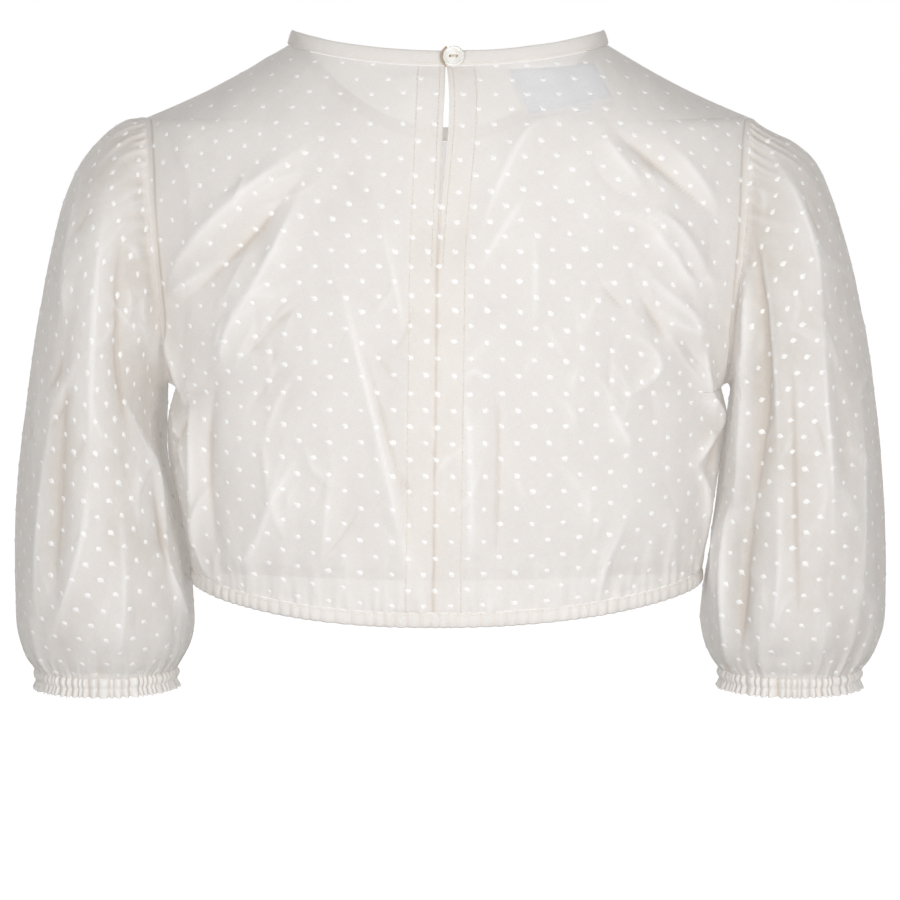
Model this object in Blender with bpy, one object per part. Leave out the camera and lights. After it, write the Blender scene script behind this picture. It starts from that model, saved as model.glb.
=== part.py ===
"""A short dirndl blouse of dotted voile, filled out as it is worn.

Metres, +Z up. The wearer faces -Y, so the back with its slit and button faces +Y and the wearer's left
is +X. The origin lies in the middle of the neck opening, level with the shoulders' neck points.
"""

import math
from collections import namedtuple

import bmesh
import bpy
import numpy as np
from mathutils import Matrix, Vector

MM = 0.001

# Cloth
WALL = 1.2 * MM
SEAM_GAP = 0.3 * MM
LAYER_GAP = 0.3 * MM
LAYER_WALL = 1.0 * MM

# Levels of the body, from 0 at the hem to 1 at the neck
UNDERARM_LEVEL = 0.40
TIP_LEVEL = 0.88

# The armhole: an egg-shaped ring from the underarm up to the shoulder tip
UNDERARM_Z = -203 * MM
TIP_X = 179 * MM
TIP_Y = 12 * MM
TIP_Z = -43 * MM
ARMHOLE_BACK_BOW = 46 * MM
ARMHOLE_FRONT_BOW = 54 * MM
TIP_SQUARENESS = 0.24

# Neck, with its shoulder point and its centre points
NECK_SIDE_X = 94.5 * MM
NECK_SIDE_Y = 7 * MM
NECK_SIDE_Z = 0 * MM
BAND_HEIGHT = 8.5 * MM
BAND_THICKNESS = 2.0 * MM
BAND_LEAN = 0.30

# Hem casing with its elastic
CASING_HEIGHT = 8.5 * MM
CASING_THICKNESS = 2.2 * MM
CASING_WAVES = 60
CASING_WAVE_DEPTH = 0.8 * MM

# Centre-back slit, facings and armhole seam allowances
SLIT_END_Z = -124 * MM
SLIT_TOP_Z = -12 * MM
SLIT_WIDTH = 4.6 * MM
FACING_WIDTH = 17 * MM
ALLOWANCE_WIDTH = 6 * MM
ALLOWANCE_CORNER_DEPTH = 1.5 * MM
ALLOWANCE_CORNER_LEAN = 1.5 * MM

# Cuffs: an elastic casing with a short frill below
CUFF_TOP_Z = -373.8 * MM
CUFF_CASING_HEIGHT = 6.5 * MM
CUFF_FRILL_HEIGHT = 4.8 * MM
CUFF_THICKNESS = 1.8 * MM
CUFF_WAVE_DEPTH = 1.3 * MM
FRILL_WAVE_DEPTH = 2.2 * MM

# Button, loop and labels
BUTTON_RADIUS = 6.2 * MM
BUTTON_THICKNESS = 2.2 * MM
BUTTON_RIM = 0.5 * MM
BUTTON_HOLE_RADIUS = 0.85 * MM
BUTTON_HOLE_SPACING = 3.6 * MM
BUTTON_X = -3.2 * MM
LOOP_RADIUS = 0.55 * MM
LABEL_WALL = 1.0 * MM

# Mesh density: cells along a panel, between seams, and round a sleeve
BODY_CELLS_BELOW_ARM = 8
ARMHOLE_CELLS = 12
SHOULDER_CELLS = 4
PANEL_COLUMNS = 11
SLEEVE_SHARE = 2
FINE = 240

# One row of the body. z and y of the centre line at the back and at the front, the back seam's drift to
# the left, the half width and height of the side seam where there is one, and how much farther out the
# left side lies, where the cloth bunches up beside the sleeve.
BodyRow = namedtuple("BodyRow", "level back_z back_y drift front_z front_y side_x side_z left_out")
BODY_ROWS = [
    BodyRow(0.00, -328.0, 88, 8.5, -324, -86, 152.0, -311.5, 1.5),
    BodyRow(0.06, -310.0, 92, 8.5, -306, -92, 154.5, -296.0, 2.0),
    BodyRow(0.15, -282.0, 97, 8.0, -279, -99, 159.0, -273.0, 2.5),
    BodyRow(0.27, -243.0, 101, 7.5, -241, -106, 165.0, -240.0, 4.0),
    BodyRow(0.34, -221.0, 103, 7.2, -221, -108, 166.5, -220.0, 3.0),
    BodyRow(0.40, -202.0, 104, 7.0, -203, -109, 163.0, -203.0, 0.0),
    BodyRow(0.52, -163.0, 105, 6.5, -171, -107, 168.0, -203.0, 0.0),
    BodyRow(0.64, -124.0, 103, 6.0, -140, -102, 171.0, -203.0, 0.0),
    BodyRow(0.76, -82.0, 96, 4.0, -109, -94, 172.5, -203.0, 0.0),
    BodyRow(0.88, -43.0, 84, 2.0, -84, -84, 179.0, -203.0, 0.0),
    BodyRow(0.95, -24.0, 75, 1.2, -69, -76, 129.0, -203.0, 0.0),
    BodyRow(1.00, -12.0, 68, 1.0, -59, -69, 94.5, -203.0, 0.0),
]

# Half width across the back and the front at the armhole, from the underarm (0) to the tip (1)
ArmholeRow = namedtuple("ArmholeRow", "share back_x front_x")
ARMHOLE_ROWS = [
    ArmholeRow(0.00, 163.0, 163.0),
    ArmholeRow(0.15, 166.5, 164.0),
    ArmholeRow(0.35, 169.5, 161.0),
    ArmholeRow(0.60, 174.5, 161.5),
    ArmholeRow(0.80, 176.5, 168.0),
    ArmholeRow(1.00, 179.0, 179.0),
]

# The sleeve as seen from behind: the outline's outer and inner point of each ring, its half depth, and
# how much farther out the right sleeve's outer point and farther in its inner point lies
SleeveRow = namedtuple("SleeveRow", "outer_x outer_z inner_x inner_z half_depth y_mid right_out right_in")
SLEEVE_ROWS = [
    SleeveRow(179.0, -43.0, 163.0, -203.0, 48, 6, 0, 0),
    SleeveRow(190.0, -43.0, 169.0, -201.5, 57, 6, 0, 0),
    SleeveRow(204.0, -52.0, 174.5, -204.5, 65, 5, 0.5, 1),
    SleeveRow(217.0, -67.0, 176.5, -211.0, 70, 4, 1, 3),
    SleeveRow(228.0, -92.0, 176.0, -220.0, 74, 3, 1.5, 4),
    SleeveRow(236.5, -125.0, 174.0, -233.0, 76, 2, 2, 5),
    SleeveRow(245.0, -165.0, 170.0, -249.0, 77, 1, 2.5, 4),
    SleeveRow(251.5, -205.0, 165.5, -266.0, 77, 0, 3, 2.5),
    SleeveRow(257.0, -250.0, 161.0, -287.0, 76, 0, 3.5, 1.5),
    SleeveRow(260.0, -300.0, 156.5, -316.0, 73, 0, 4, 1),
    SleeveRow(259.5, -340.0, 153.5, -343.0, 66, 0, 3, -1),
    SleeveRow(256.0, -359.0, 156.0, -360.0, 56, 0, 1, -1),
    SleeveRow(248.5, -373.5, 164.5, -373.5, 45, 0, 0, 0),
]
SLEEVE_BLEND_ROWS = 6
GATHER_ROWS = 4
GATHER_DEPTH = 1.6 * MM
CAP_GATHER_DEPTH = 1.2 * MM

# Large folds. Three points of each in back view, its height (a trough is negative) and its half width
Fold = namedtuple("Fold", "x1 z1 x2 z2 x3 z3 height half_width")
BACK_FOLDS = [
    Fold(85, -60, 127, -93, 160, -128, 3.5, 12),
    Fold(82, -72, 118, -115, 158, -152, -3.5, 12),
    Fold(83, -80, 105, -126, 132, -171, 3.0, 12),
    Fold(63, -135, 43, -210, 20, -318, 2.8, 13),
    Fold(94, -225, 109, -283, 127, -305, 2.5, 13),
    Fold(-57, -41, -37, -63, -14, -121, 2.5, 12),
    Fold(-114, -93, -135, -108, -156, -145, 3.5, 12),
    Fold(-96, -49, -121, -70, -158, -102, -3.5, 12),
    Fold(-96, -159, -120, -186, -96, -201, 3.0, 12),
    Fold(-9, -194, -13, -283, -12, -318, 2.5, 12),
    Fold(-26, -194, -29, -236, -26, -318, -2.5, 12),
    Fold(-106, -268, -93, -297, -88, -318, 2.5, 12),
]
FRONT_FOLDS = [
    Fold(90, -62, 60, -110, 20, -150, 2.8, 13),
    Fold(-88, -66, -52, -118, -16, -148, 2.8, 13),
    Fold(120, -150, 96, -230, 88, -312, 2.8, 13),
    Fold(-118, -158, -100, -226, -82, -312, 2.8, 13),
    Fold(36, -190, 30, -250, 40, -316, 2.2, 13),
    Fold(-30, -184, -42, -252, -34, -316, -2.2, 13),
]
# Long folds of a sleeve: where they lie round it in degrees from its outer line towards the back, where
# they begin and end along it, from 0 at the armhole to 1 at the cuff, and their height and half width
SleeveFold = namedtuple("SleeveFold", "turn start end height half_turn")
SLEEVE_FOLDS = [
    SleeveFold(62, 0.15, 0.95, 3.2, 11),
    SleeveFold(112, 0.30, 0.95, 4.0, 12),
    SleeveFold(136, 0.25, 0.90, -3.0, 11),
    SleeveFold(28, 0.35, 0.95, 2.4, 11),
    SleeveFold(250, 0.20, 0.95, 3.0, 13),
    SleeveFold(300, 0.25, 0.95, 3.2, 13),
]

IVORY = (0.84, 0.80, 0.73)
WARM_IVORY = (0.86, 0.80, 0.70)
PEARL = (0.90, 0.88, 0.85)
THREAD_BEIGE = (0.55, 0.42, 0.30)
LABEL_WHITE = (0.86, 0.88, 0.92)


def along(stations, values, at):
    """A smooth curve through values at the stations, read at each place in at."""
    stations = np.asarray(stations, float)
    values = np.asarray(values, float)
    at = np.asarray(at, float)
    slopes = np.gradient(values, stations)
    first = np.clip(np.searchsorted(stations, at, side="right") - 1, 0, len(stations) - 2)
    span = stations[first + 1] - stations[first]
    u = (at - stations[first]) / span
    start = (2 * u**3 - 3 * u**2 + 1) * values[first] + (u**3 - 2 * u**2 + u) * span * slopes[first]
    end = (3 * u**2 - 2 * u**3) * values[first + 1] + (u**3 - u**2) * span * slopes[first + 1]
    return start + end


def column(rows, key, name, at):
    return along([getattr(row, key) for row in rows], [getattr(row, name) for row in rows], at)


def unit(vectors):
    length = np.linalg.norm(vectors, axis=-1, keepdims=True)
    return vectors / np.maximum(length, 1e-12)


def edge_point(level, side, back):
    """The panel's outer edge: side seam, then armhole, then shoulder seam."""
    if level <= UNDERARM_LEVEL:
        x = column(BODY_ROWS, "level", "side_x", level) * MM
        if side > 0:
            x += column(BODY_ROWS, "level", "left_out", level) * MM
        z = column(BODY_ROWS, "level", "side_z", level) * MM
        return np.array([side * x, 0.0, z])
    if level <= TIP_LEVEL:
        share = (level - UNDERARM_LEVEL) / (TIP_LEVEL - UNDERARM_LEVEL)
        bow = ARMHOLE_BACK_BOW if back else -ARMHOLE_FRONT_BOW
        x = column(ARMHOLE_ROWS, "share", "back_x" if back else "front_x", share) * MM
        y = bow * math.sin(math.pi * share) ** 0.9 + TIP_Y * share**2
        z = UNDERARM_Z + (TIP_Z - UNDERARM_Z) * (1 - math.cos(math.pi * share)) / 2
        return np.array([side * x, y, z])
    share = (level - TIP_LEVEL) / (1 - TIP_LEVEL)
    tip = np.array([side * TIP_X, TIP_Y, TIP_Z])
    neck = np.array([side * NECK_SIDE_X, NECK_SIDE_Y, NECK_SIDE_Z])
    dip = np.array([0, 0, -2.5 * MM * math.sin(math.pi * share)])
    return tip + (neck - tip) * share + dip


def body_row(level, side, back):
    """Closely spaced points of one row, from the centre line to the panel's outer edge."""
    edge = edge_point(level, side, back)
    place = "back" if back else "front"
    centre_x = column(BODY_ROWS, "level", "drift", level) * MM if back else 0.0
    centre_y = column(BODY_ROWS, "level", place + "_y", level) * MM
    centre_z = column(BODY_ROWS, "level", place + "_z", level) * MM
    turn = 1.0
    if UNDERARM_LEVEL < level < TIP_LEVEL:
        share = (level - UNDERARM_LEVEL) / (TIP_LEVEL - UNDERARM_LEVEL)
        turn -= 0.30 * math.sin(math.pi * share) + TIP_SQUARENESS * share**2
    elif level >= TIP_LEVEL:
        turn -= TIP_SQUARENESS * (1 - level) / (1 - TIP_LEVEL)
    boxy = 0.86
    last = turn * math.pi / 2
    theta = np.linspace(0, last, FINE + 1)
    across = (np.sin(theta) / math.sin(last)) ** boxy
    rest = max(math.cos(last), 0.0) ** boxy
    fall = (np.maximum(np.cos(theta), 0) ** boxy - rest) / (1 - rest)
    rise = (theta / last) ** 2 * (3 - 2 * theta / last)
    return np.stack(
        [
            centre_x + (edge[0] - centre_x) * across,
            edge[1] + (centre_y - edge[1]) * fall,
            centre_z + (edge[2] - centre_z) * rise,
        ],
        axis=1,
    )


def lengths_along(points):
    steps = np.linalg.norm(np.diff(points, axis=0), axis=1)
    return np.concatenate([[0.0], np.cumsum(steps)])


def read_at(points, lengths, wanted):
    return np.stack([np.interp(wanted, lengths, points[:, k]) for k in range(3)], axis=1)


def slit_half(z, side):
    """Half the gap between the two back panels at this height: wider in the slit, on the right side."""
    half = SEAM_GAP / 2
    if z > SLIT_END_Z:
        share = min((z - SLIT_END_Z) / (SLIT_TOP_Z - SLIT_END_Z), 1.0)
        opening = math.sin(math.pi * share**2) if share < 1 else 0.0
        half += (0.15 if side > 0 else 0.85) * SLIT_WIDTH * max(opening, 0.0) + 0.3 * MM * share
    return half


def fold_height(folds, x, z):
    """How far the folds push the cloth out at the places x, z of the back or front view."""
    height = np.zeros_like(x)
    for fold in folds:
        ends = np.array([[fold.x1, fold.z1], [fold.x3, fold.z3]]) * MM
        middle = np.array([fold.x2, fold.z2]) * MM
        bend = 2 * middle - (ends[0] + ends[1]) / 2
        u = np.linspace(0, 1, 17)[:, None]
        path = ends[0] * (1 - u) ** 2 + bend * 2 * u * (1 - u) + ends[1] * u**2
        gaps = np.hypot(x[..., None] - path[:, 0], z[..., None] - path[:, 1])
        nearest = gaps.argmin(axis=-1)
        taper = np.sin(np.pi * np.clip(nearest / 16, 0.06, 0.94)) ** 0.6
        height += fold.height * MM * taper * np.exp(-((gaps.min(axis=-1) / (fold.half_width * MM)) ** 2))
    return height


def panel_levels():
    below = np.linspace(0, UNDERARM_LEVEL, BODY_CELLS_BELOW_ARM + 1)
    arm = np.linspace(UNDERARM_LEVEL, TIP_LEVEL, ARMHOLE_CELLS + 1)[1:]
    above = np.linspace(TIP_LEVEL, 1, SHOULDER_CELLS + 1)[1:]
    return np.concatenate([below, arm, above])


def half_panel(side, back):
    """Points, outward normals and untrimmed edge points of half a panel, a row for each level."""
    levels = panel_levels()
    points, edges = [], []
    for level in levels:
        row = body_row(level, side, back)
        lengths = lengths_along(row)
        start = slit_half(row[0, 2], side) if back else 0.0
        stop = lengths[-1]
        even = np.linspace(start + FACING_WIDTH, stop - ALLOWANCE_WIDTH, PANEL_COLUMNS + 1)
        trimmed = stop if UNDERARM_LEVEL < level < TIP_LEVEL else stop - SEAM_GAP / 2
        wanted = np.concatenate([[start, start + FACING_WIDTH / 2], even, [trimmed]])
        points.append(read_at(row, lengths, wanted))
        edges.append(row[-1])
    points = np.array(points)
    edges = np.array(edges)
    across = np.gradient(points, axis=1)
    upward = np.gradient(points, axis=0)
    normals = unit(np.cross(across, upward))
    if (normals[:, :, 1].mean() > 0) != back:
        normals = -normals
    normals[:, 0, 0] = 0
    seam = (levels <= UNDERARM_LEVEL) | (levels >= TIP_LEVEL)
    seam_normals = np.cross([0.0, 1.0, 0.0], np.gradient(edges, levels, axis=0))
    seam_normals *= np.sign(seam_normals[:, :1] * side)
    tip = len(levels) - 1 - SHOULDER_CELLS
    run = edges[tip + 1] - edges[tip]
    tip_normal = np.cross([0.0, 1.0, 0.0], run)
    seam_normals[tip] = tip_normal * np.sign(tip_normal[2])
    seam_normals[BODY_CELLS_BELOW_ARM] = [side, 0, 0]
    normals[seam, -1] = seam_normals[seam]
    normals = unit(normals)
    folds = BACK_FOLDS if back else FRONT_FOLDS
    height = fold_height(folds, points[:, :, 0], points[:, :, 2])
    fade = np.ones(points.shape[1])
    fade[-2:] = (0.5, 0.0)
    fade_rows = np.ones(len(levels))
    fade_rows[:2] = (0.0, 0.6)
    fade_rows[-2:] = (0.5, 0.0)
    points = points + normals * (height * fade * fade_rows[:, None])[:, :, None]
    return points, normals, edges


def make_material(name, colour, roughness):
    material = bpy.data.materials.new(name)
    material.use_nodes = True
    shader = material.node_tree.nodes["Principled BSDF"]
    shader.inputs["Base Color"].default_value = (*colour, 1)
    shader.inputs["Roughness"].default_value = roughness
    shader.inputs["Metallic"].default_value = 0.0
    return material


def add_object(name, points, faces, material):
    """One closed mesh object with its faces turned outwards."""
    mesh = bpy.data.meshes.new(name)
    mesh.from_pydata([tuple(p) for p in points], [], faces)
    shape = bmesh.new()
    shape.from_mesh(mesh)
    bmesh.ops.recalc_face_normals(shape, faces=shape.faces)
    if shape.calc_volume(signed=True) < 0:
        bmesh.ops.reverse_faces(shape, faces=shape.faces)
    shape.to_mesh(mesh)
    shape.free()
    mesh.shade_smooth()
    mesh.set_sharp_from_angle(angle=math.radians(50))
    mesh.materials.append(material)
    obj = bpy.data.objects.new(name, mesh)
    bpy.context.scene.collection.objects.link(obj)
    return obj


def wall_from_grids(name, outer, inner, material, ring=False):
    """A closed wall between two grids of points. A ring's last column joins its first."""
    rows, columns = outer.shape[:2]
    count = rows * columns
    points = np.concatenate([outer.reshape(-1, 3), inner.reshape(-1, 3)])
    cells = columns if ring else columns - 1

    def index(row, step, layer):
        return layer * count + row * columns + step % columns

    # Each cell is cut along the same diagonal on both sides, so that layers keep their distance
    faces = []
    for row in range(rows - 1):
        for step in range(cells):
            for third in ((row, step + 1), (row + 1, step)):
                corner = [(row, step), third, (row + 1, step + 1)]
                if third[0] > row:
                    corner.reverse()
                faces.append([index(r, c, 0) for r, c in corner])
                faces.append([index(r, c, 1) for r, c in reversed(corner)])
    for row in (0, rows - 1):
        for step in range(cells):
            rim = [index(row, step, 0), index(row, step + 1, 0), index(row, step + 1, 1)]
            rim.append(index(row, step, 1))
            faces.append(rim if row else rim[::-1])
    if not ring:
        for step in (0, columns - 1):
            for row in range(rows - 1):
                rim = [index(row, step, 0), index(row + 1, step, 0), index(row + 1, step, 1)]
                rim.append(index(row, step, 1))
                faces.append(rim[::-1] if step else rim)
    return add_object(name, points, faces, material)


def moved_out(points, normals, distance):
    return points + normals * distance


def cloth_wall(name, points, normals, material, ring=False, middle=0.0, wall=WALL):
    """A wall of cloth, centred the given distance outside its points."""
    outer = moved_out(points, normals, middle + wall / 2)
    inner = moved_out(points, normals, middle - wall / 2)
    return wall_from_grids(name, outer, inner, material, ring)


def make_body(cloth, warm):
    """The front, the two backs and what is sewn inside them. Returns the half panels."""
    halves = {(side, back): half_panel(side, back) for side in (1, -1) for back in (True, False)}
    for side, word in ((1, "left"), (-1, "right")):
        points, normals, _ = halves[side, True]
        cloth_wall(f"back_{word}", points, normals, cloth)
        inside = -(WALL / 2 + LAYER_GAP + LAYER_WALL / 2)
        strip = points[:, :3], normals[:, :3]
        cloth_wall(f"facing_{word}", *strip, warm, middle=inside, wall=LAYER_WALL)
    left, left_normals, _ = halves[1, False]
    right, right_normals, _ = halves[-1, False]
    points = np.concatenate([right[:, :0:-1], left], axis=1)
    normals = np.concatenate([right_normals[:, :0:-1], left_normals], axis=1)
    cloth_wall("front", points, normals, cloth)
    return halves


def armhole_ring(halves, side):
    """The armhole's edge from the tip down the back and up the front: points, body normals and the
    direction in the cloth that leads away from the body."""
    low = BODY_CELLS_BELOW_ARM
    high = low + ARMHOLE_CELLS
    back, front = halves[side, True], halves[side, False]
    points = np.concatenate([back[2][high:low:-1], front[2][low:high]])
    normals = np.concatenate([back[1][high:low:-1, -1], front[1][low:high, -1]])
    run = np.roll(points, -1, axis=0) - np.roll(points, 1, axis=0)
    away = unit(np.cross(run, normals))
    away *= np.sign(away[:, :1] * side + 0.2 * away[:, 2:])
    return points, normals, away


def finer_ring(values, share):
    """The ring with each cell cut in share equal parts."""
    after = np.roll(values, -1, axis=0)
    parts = [values + (after - values) * k / share for k in range(share)]
    return np.stack(parts, axis=1).reshape(-1, values.shape[1])


def wrapped(angle):
    return (angle + math.pi) % (2 * math.pi) - math.pi


def sleeve_grid(halves, side):
    """Mid-surface points and normals of a sleeve, a ring for each row of its table."""
    edge, edge_normals, away = (finer_ring(v, SLEEVE_SHARE) for v in armhole_ring(halves, side))
    count = len(edge)
    even = np.arange(count) * 2 * math.pi / count
    rings = []
    first = SLEEVE_ROWS[0]
    outer = np.array([first.outer_x, 0, first.outer_z]) * MM
    inner = np.array([first.inner_x, 0, first.inner_z]) * MM
    height = np.linalg.norm(outer - inner) / 2
    lift = (edge[:, 2] - (outer + inner)[2] / 2) / height
    across = (edge[:, 1] - first.y_mid * MM) / (first.half_depth * MM)
    own = np.unwrap(np.arctan2(across, lift))
    own -= 2 * math.pi * round(float((own - even).mean()) / (2 * math.pi))
    for number, row in enumerate(SLEEVE_ROWS):
        out, into = (row.right_out, row.right_in) if side < 0 else (0, 0)
        outer = np.array([row.outer_x + out, row.y_mid, row.outer_z]) * MM
        inner = np.array([row.inner_x - into, row.y_mid, row.inner_z]) * MM
        blend = min(number / SLEEVE_BLEND_ROWS, 1)
        phi = own * (1 - blend) + even * blend
        middle = (outer + inner) / 2
        ring = middle + np.cos(phi)[:, None] * (outer - inner) / 2
        ring = ring + np.sin(phi)[:, None] * np.array([0, row.half_depth * MM, 0])
        ring[:, 0] *= side
        rings.append(ring)
    rings = np.array(rings)
    correction = edge - rings[0]
    for number in range(len(rings)):
        rings[number] += correction * max(1 - number / SLEEVE_BLEND_ROWS, 0) ** 2
    rings = add_sleeve_folds(rings, even, side)
    normals = ring_normals(rings)
    tilt = np.linalg.norm(np.cross(normals[0], edge_normals), axis=1)
    rings[0] = edge + away * (SEAM_GAP + 0.1 * MM + tilt * WALL / 2)[:, None]
    return rings, ring_normals(rings)


def ring_normals(rings):
    around = np.roll(rings, -1, axis=1) - np.roll(rings, 1, axis=1)
    down = np.gradient(rings, axis=0)
    normals = unit(np.cross(around, down))
    centres = rings.mean(axis=1, keepdims=True)
    lower = len(rings) // 2
    if (normals[lower:] * (rings[lower:] - centres[lower:])).sum() < 0:
        normals = -normals
    return normals


def add_sleeve_folds(rings, even, side):
    """Long folds down the sleeve and gathers at its cap and its cuff."""
    count = len(rings)
    normals = ring_normals(rings)
    zigzag = np.where(np.arange(rings.shape[1]) % 2, 1.0, -1.0)
    for number in range(1, count):
        share = number / (count - 1)
        height = np.zeros(rings.shape[1])
        for fold in SLEEVE_FOLDS:
            if fold.start < share < fold.end:
                taper = math.sin(math.pi * (share - fold.start) / (fold.end - fold.start)) ** 0.7
                off = wrapped(even - math.radians(fold.turn)) / math.radians(fold.half_turn)
                height += fold.height * MM * taper * np.exp(-(off**2))
        near_cuff = max(1 - (count - 1 - number) / GATHER_ROWS, 0)
        near_cap = max(1 - number / GATHER_ROWS, 0) * (np.cos(even) > 0.2)
        height += zigzag * (GATHER_DEPTH * near_cuff**0.7 * (number < count - 1) + CAP_GATHER_DEPTH * near_cap)
        rings[number] += normals[number] * height[:, None]
    rings[-1] += normals[-1] * (zigzag * CUFF_WAVE_DEPTH / 2)[:, None] * np.array([1, 1, 0])
    return rings


def make_sleeves(halves, cloth, warm):
    for side, word in ((1, "left"), (-1, "right")):
        rings, normals = sleeve_grid(halves, side)
        cloth_wall(f"sleeve_{word}", rings, normals, cloth, ring=True)
        make_cuff(f"cuff_{word}", rings[-1], warm)
        make_allowance(f"armhole_binding_{word}", halves, side, warm)


def make_cuff(name, top, material):
    """An elastic casing that waves in and out, with a short frill that waves more."""
    centre = top.mean(axis=0)
    flat = top - centre
    flat[:, 2] = 0
    radial = unit(flat)
    zigzag = np.where(np.arange(len(top)) % 2, 1.0, -1.0)[:, None]
    smooth = centre + flat - radial * zigzag * CUFF_WAVE_DEPTH / 2
    start = CUFF_TOP_Z - SEAM_GAP - 0.2 * MM
    # Height below the start, how far the profile stands out, and how deep it waves
    profile = (
        (0.0, 0.0, CUFF_WAVE_DEPTH / 2),
        (CUFF_CASING_HEIGHT / 2, 0.9 * MM, CUFF_WAVE_DEPTH),
        (CUFF_CASING_HEIGHT, -0.6 * MM, CUFF_WAVE_DEPTH / 2),
        (CUFF_CASING_HEIGHT + CUFF_FRILL_HEIGHT, 1.6 * MM, FRILL_WAVE_DEPTH),
    )
    outer, inner = [], []
    for fall, stand, wave in profile:
        line = smooth + radial * (stand + zigzag * wave)
        line[:, 2] = start - fall
        outer.append(line + radial * CUFF_THICKNESS / 2)
        inner.append(line - radial * CUFF_THICKNESS / 2)
    wall_from_grids(name, np.array(outer), np.array(inner), material, ring=True)


def make_allowance(name, halves, side, material):
    """The seam allowance inside the armhole, a narrow ring on the body side."""
    low = BODY_CELLS_BELOW_ARM
    high = low + ARMHOLE_CELLS
    inside = -(WALL / 2 + LAYER_GAP + LAYER_WALL / 2)
    edge, body, edge_normals, body_normals = [], [], [], []
    for back, order in ((True, range(high - 1, low, -1)), (False, range(low + 1, high))):
        points, normals, _ = halves[side, back]
        for row in order:
            edge.append(points[row, -1])
            body.append(points[row, -2])
            edge_normals.append(normals[row, -1])
            body_normals.append(normals[row, -2])
    for place, level, row in ((len(edge) // 2, UNDERARM_LEVEL - 0.018, low), (0, TIP_LEVEL + 0.008, high)):
        corner = edge_point(level, side, True)
        corner[0] -= side * ALLOWANCE_CORNER_LEAN * (row == low)
        back_points, back_normals, edges = halves[side, True]
        edge.insert(place, edges[row])
        body.insert(place, corner)
        edge_normals.insert(place, back_normals[row, -1])
        body_normals.insert(place, back_normals[row, -1])
    grid = np.array([edge, body])
    normals = np.array([edge_normals, body_normals])
    grid[0] += unit(grid[1] - grid[0]) * 0.3 * MM
    # Near the tip and the underarm the ring turns sharply, so it lies a little deeper
    around = np.arange(len(edge))
    corner_gap = np.minimum(np.minimum(around, len(edge) - around), np.abs(around - len(edge) // 2))
    deeper = ALLOWANCE_CORNER_DEPTH * np.maximum(1 - corner_gap / 3, 0)
    grid -= normals * deeper[:, None]
    cloth_wall(name, grid, normals, material, ring=True, middle=inside, wall=LAYER_WALL)


def body_ring(level):
    """The whole ring at one level: from the back's centre round by the left, the front and the right."""
    parts = [
        body_row(level, 1, True),
        body_row(level, 1, False)[::-1],
        body_row(level, -1, False),
        body_row(level, -1, True)[::-1],
    ]
    return np.concatenate([part[:-1] for part in parts] + [parts[-1][-1:]])


def make_hem_casing(material):
    """The folded casing below the panels, waved by its elastic."""
    ring = body_ring(0.0)
    lengths = lengths_along(ring)
    count = 2 * CASING_WAVES
    line = read_at(ring, lengths, np.arange(count) * lengths[-1] / count)
    run = np.roll(line, -1, axis=0) - np.roll(line, 1, axis=0)
    out = unit(np.cross([0.0, 0.0, 1.0], run))
    out *= np.sign((out * line).sum())
    zigzag = np.where(np.arange(count) % 2, 1.0, -1.0)[:, None]
    outer, inner = [], []
    # Share of the height, how far the profile stands out, and how deep it waves
    for fall, stand, wave in ((0.0, 0.0, 0.4), (0.5, 0.8 * MM, 1.0), (1.0, 0.2 * MM, 0.8)):
        middle = line + out * (stand + zigzag * wave * CASING_WAVE_DEPTH)
        middle[:, 2] -= SEAM_GAP + 0.2 * MM + fall * CASING_HEIGHT
        outer.append(middle + out * CASING_THICKNESS / 2)
        inner.append(middle - out * CASING_THICKNESS / 2)
    wall_from_grids("hem_casing", np.array(outer), np.array(inner), material, ring=True)


def neckband_frames(count=64):
    """Seam points of the neckband from the slit's left edge to its right edge, with the directions out
    of the band and up along it."""
    ring = body_ring(1.0)
    lengths = lengths_along(ring)
    left = slit_half(SLIT_TOP_Z, 1) + 0.3 * MM
    right = lengths[-1] - slit_half(SLIT_TOP_Z, -1) - 0.5 * MM
    line = read_at(ring, lengths, np.linspace(left, right, count + 1))
    run = np.gradient(line, axis=0)
    out = unit(np.cross([0.0, 0.0, 1.0], run))
    out *= np.sign((out * line).sum())
    up = unit(np.array([0.0, 0.0, 1.0]) - BAND_LEAN * out)
    face = unit(out + BAND_LEAN * np.array([0.0, 0.0, 1.0]))
    return line, face, up


def make_neckband(material):
    line, face, up = neckband_frames()
    outer, inner = [], []
    for rise, stand in ((0.0, 0.0), (0.55, 0.35 * MM), (1.0, 0.0)):
        middle = line + up * (SEAM_GAP + 0.5 * MM + rise * BAND_HEIGHT) + face * stand
        outer.append(middle + face * BAND_THICKNESS / 2)
        inner.append(middle - face * BAND_THICKNESS / 2)
    wall_from_grids("neckband", np.array(outer), np.array(inner), material)


def band_frame_at_back():
    """A point on the band's middle line at the button, and the band's outward and upward directions."""
    line, face, up = neckband_frames()
    centre = line[-1] + up[-1] * (SEAM_GAP + 0.5 * MM + BAND_HEIGHT * 0.5)
    centre[0] = BUTTON_X
    out = Vector((0, face[-1][1], face[-1][2])).normalized()
    return Vector(centre), out


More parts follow.
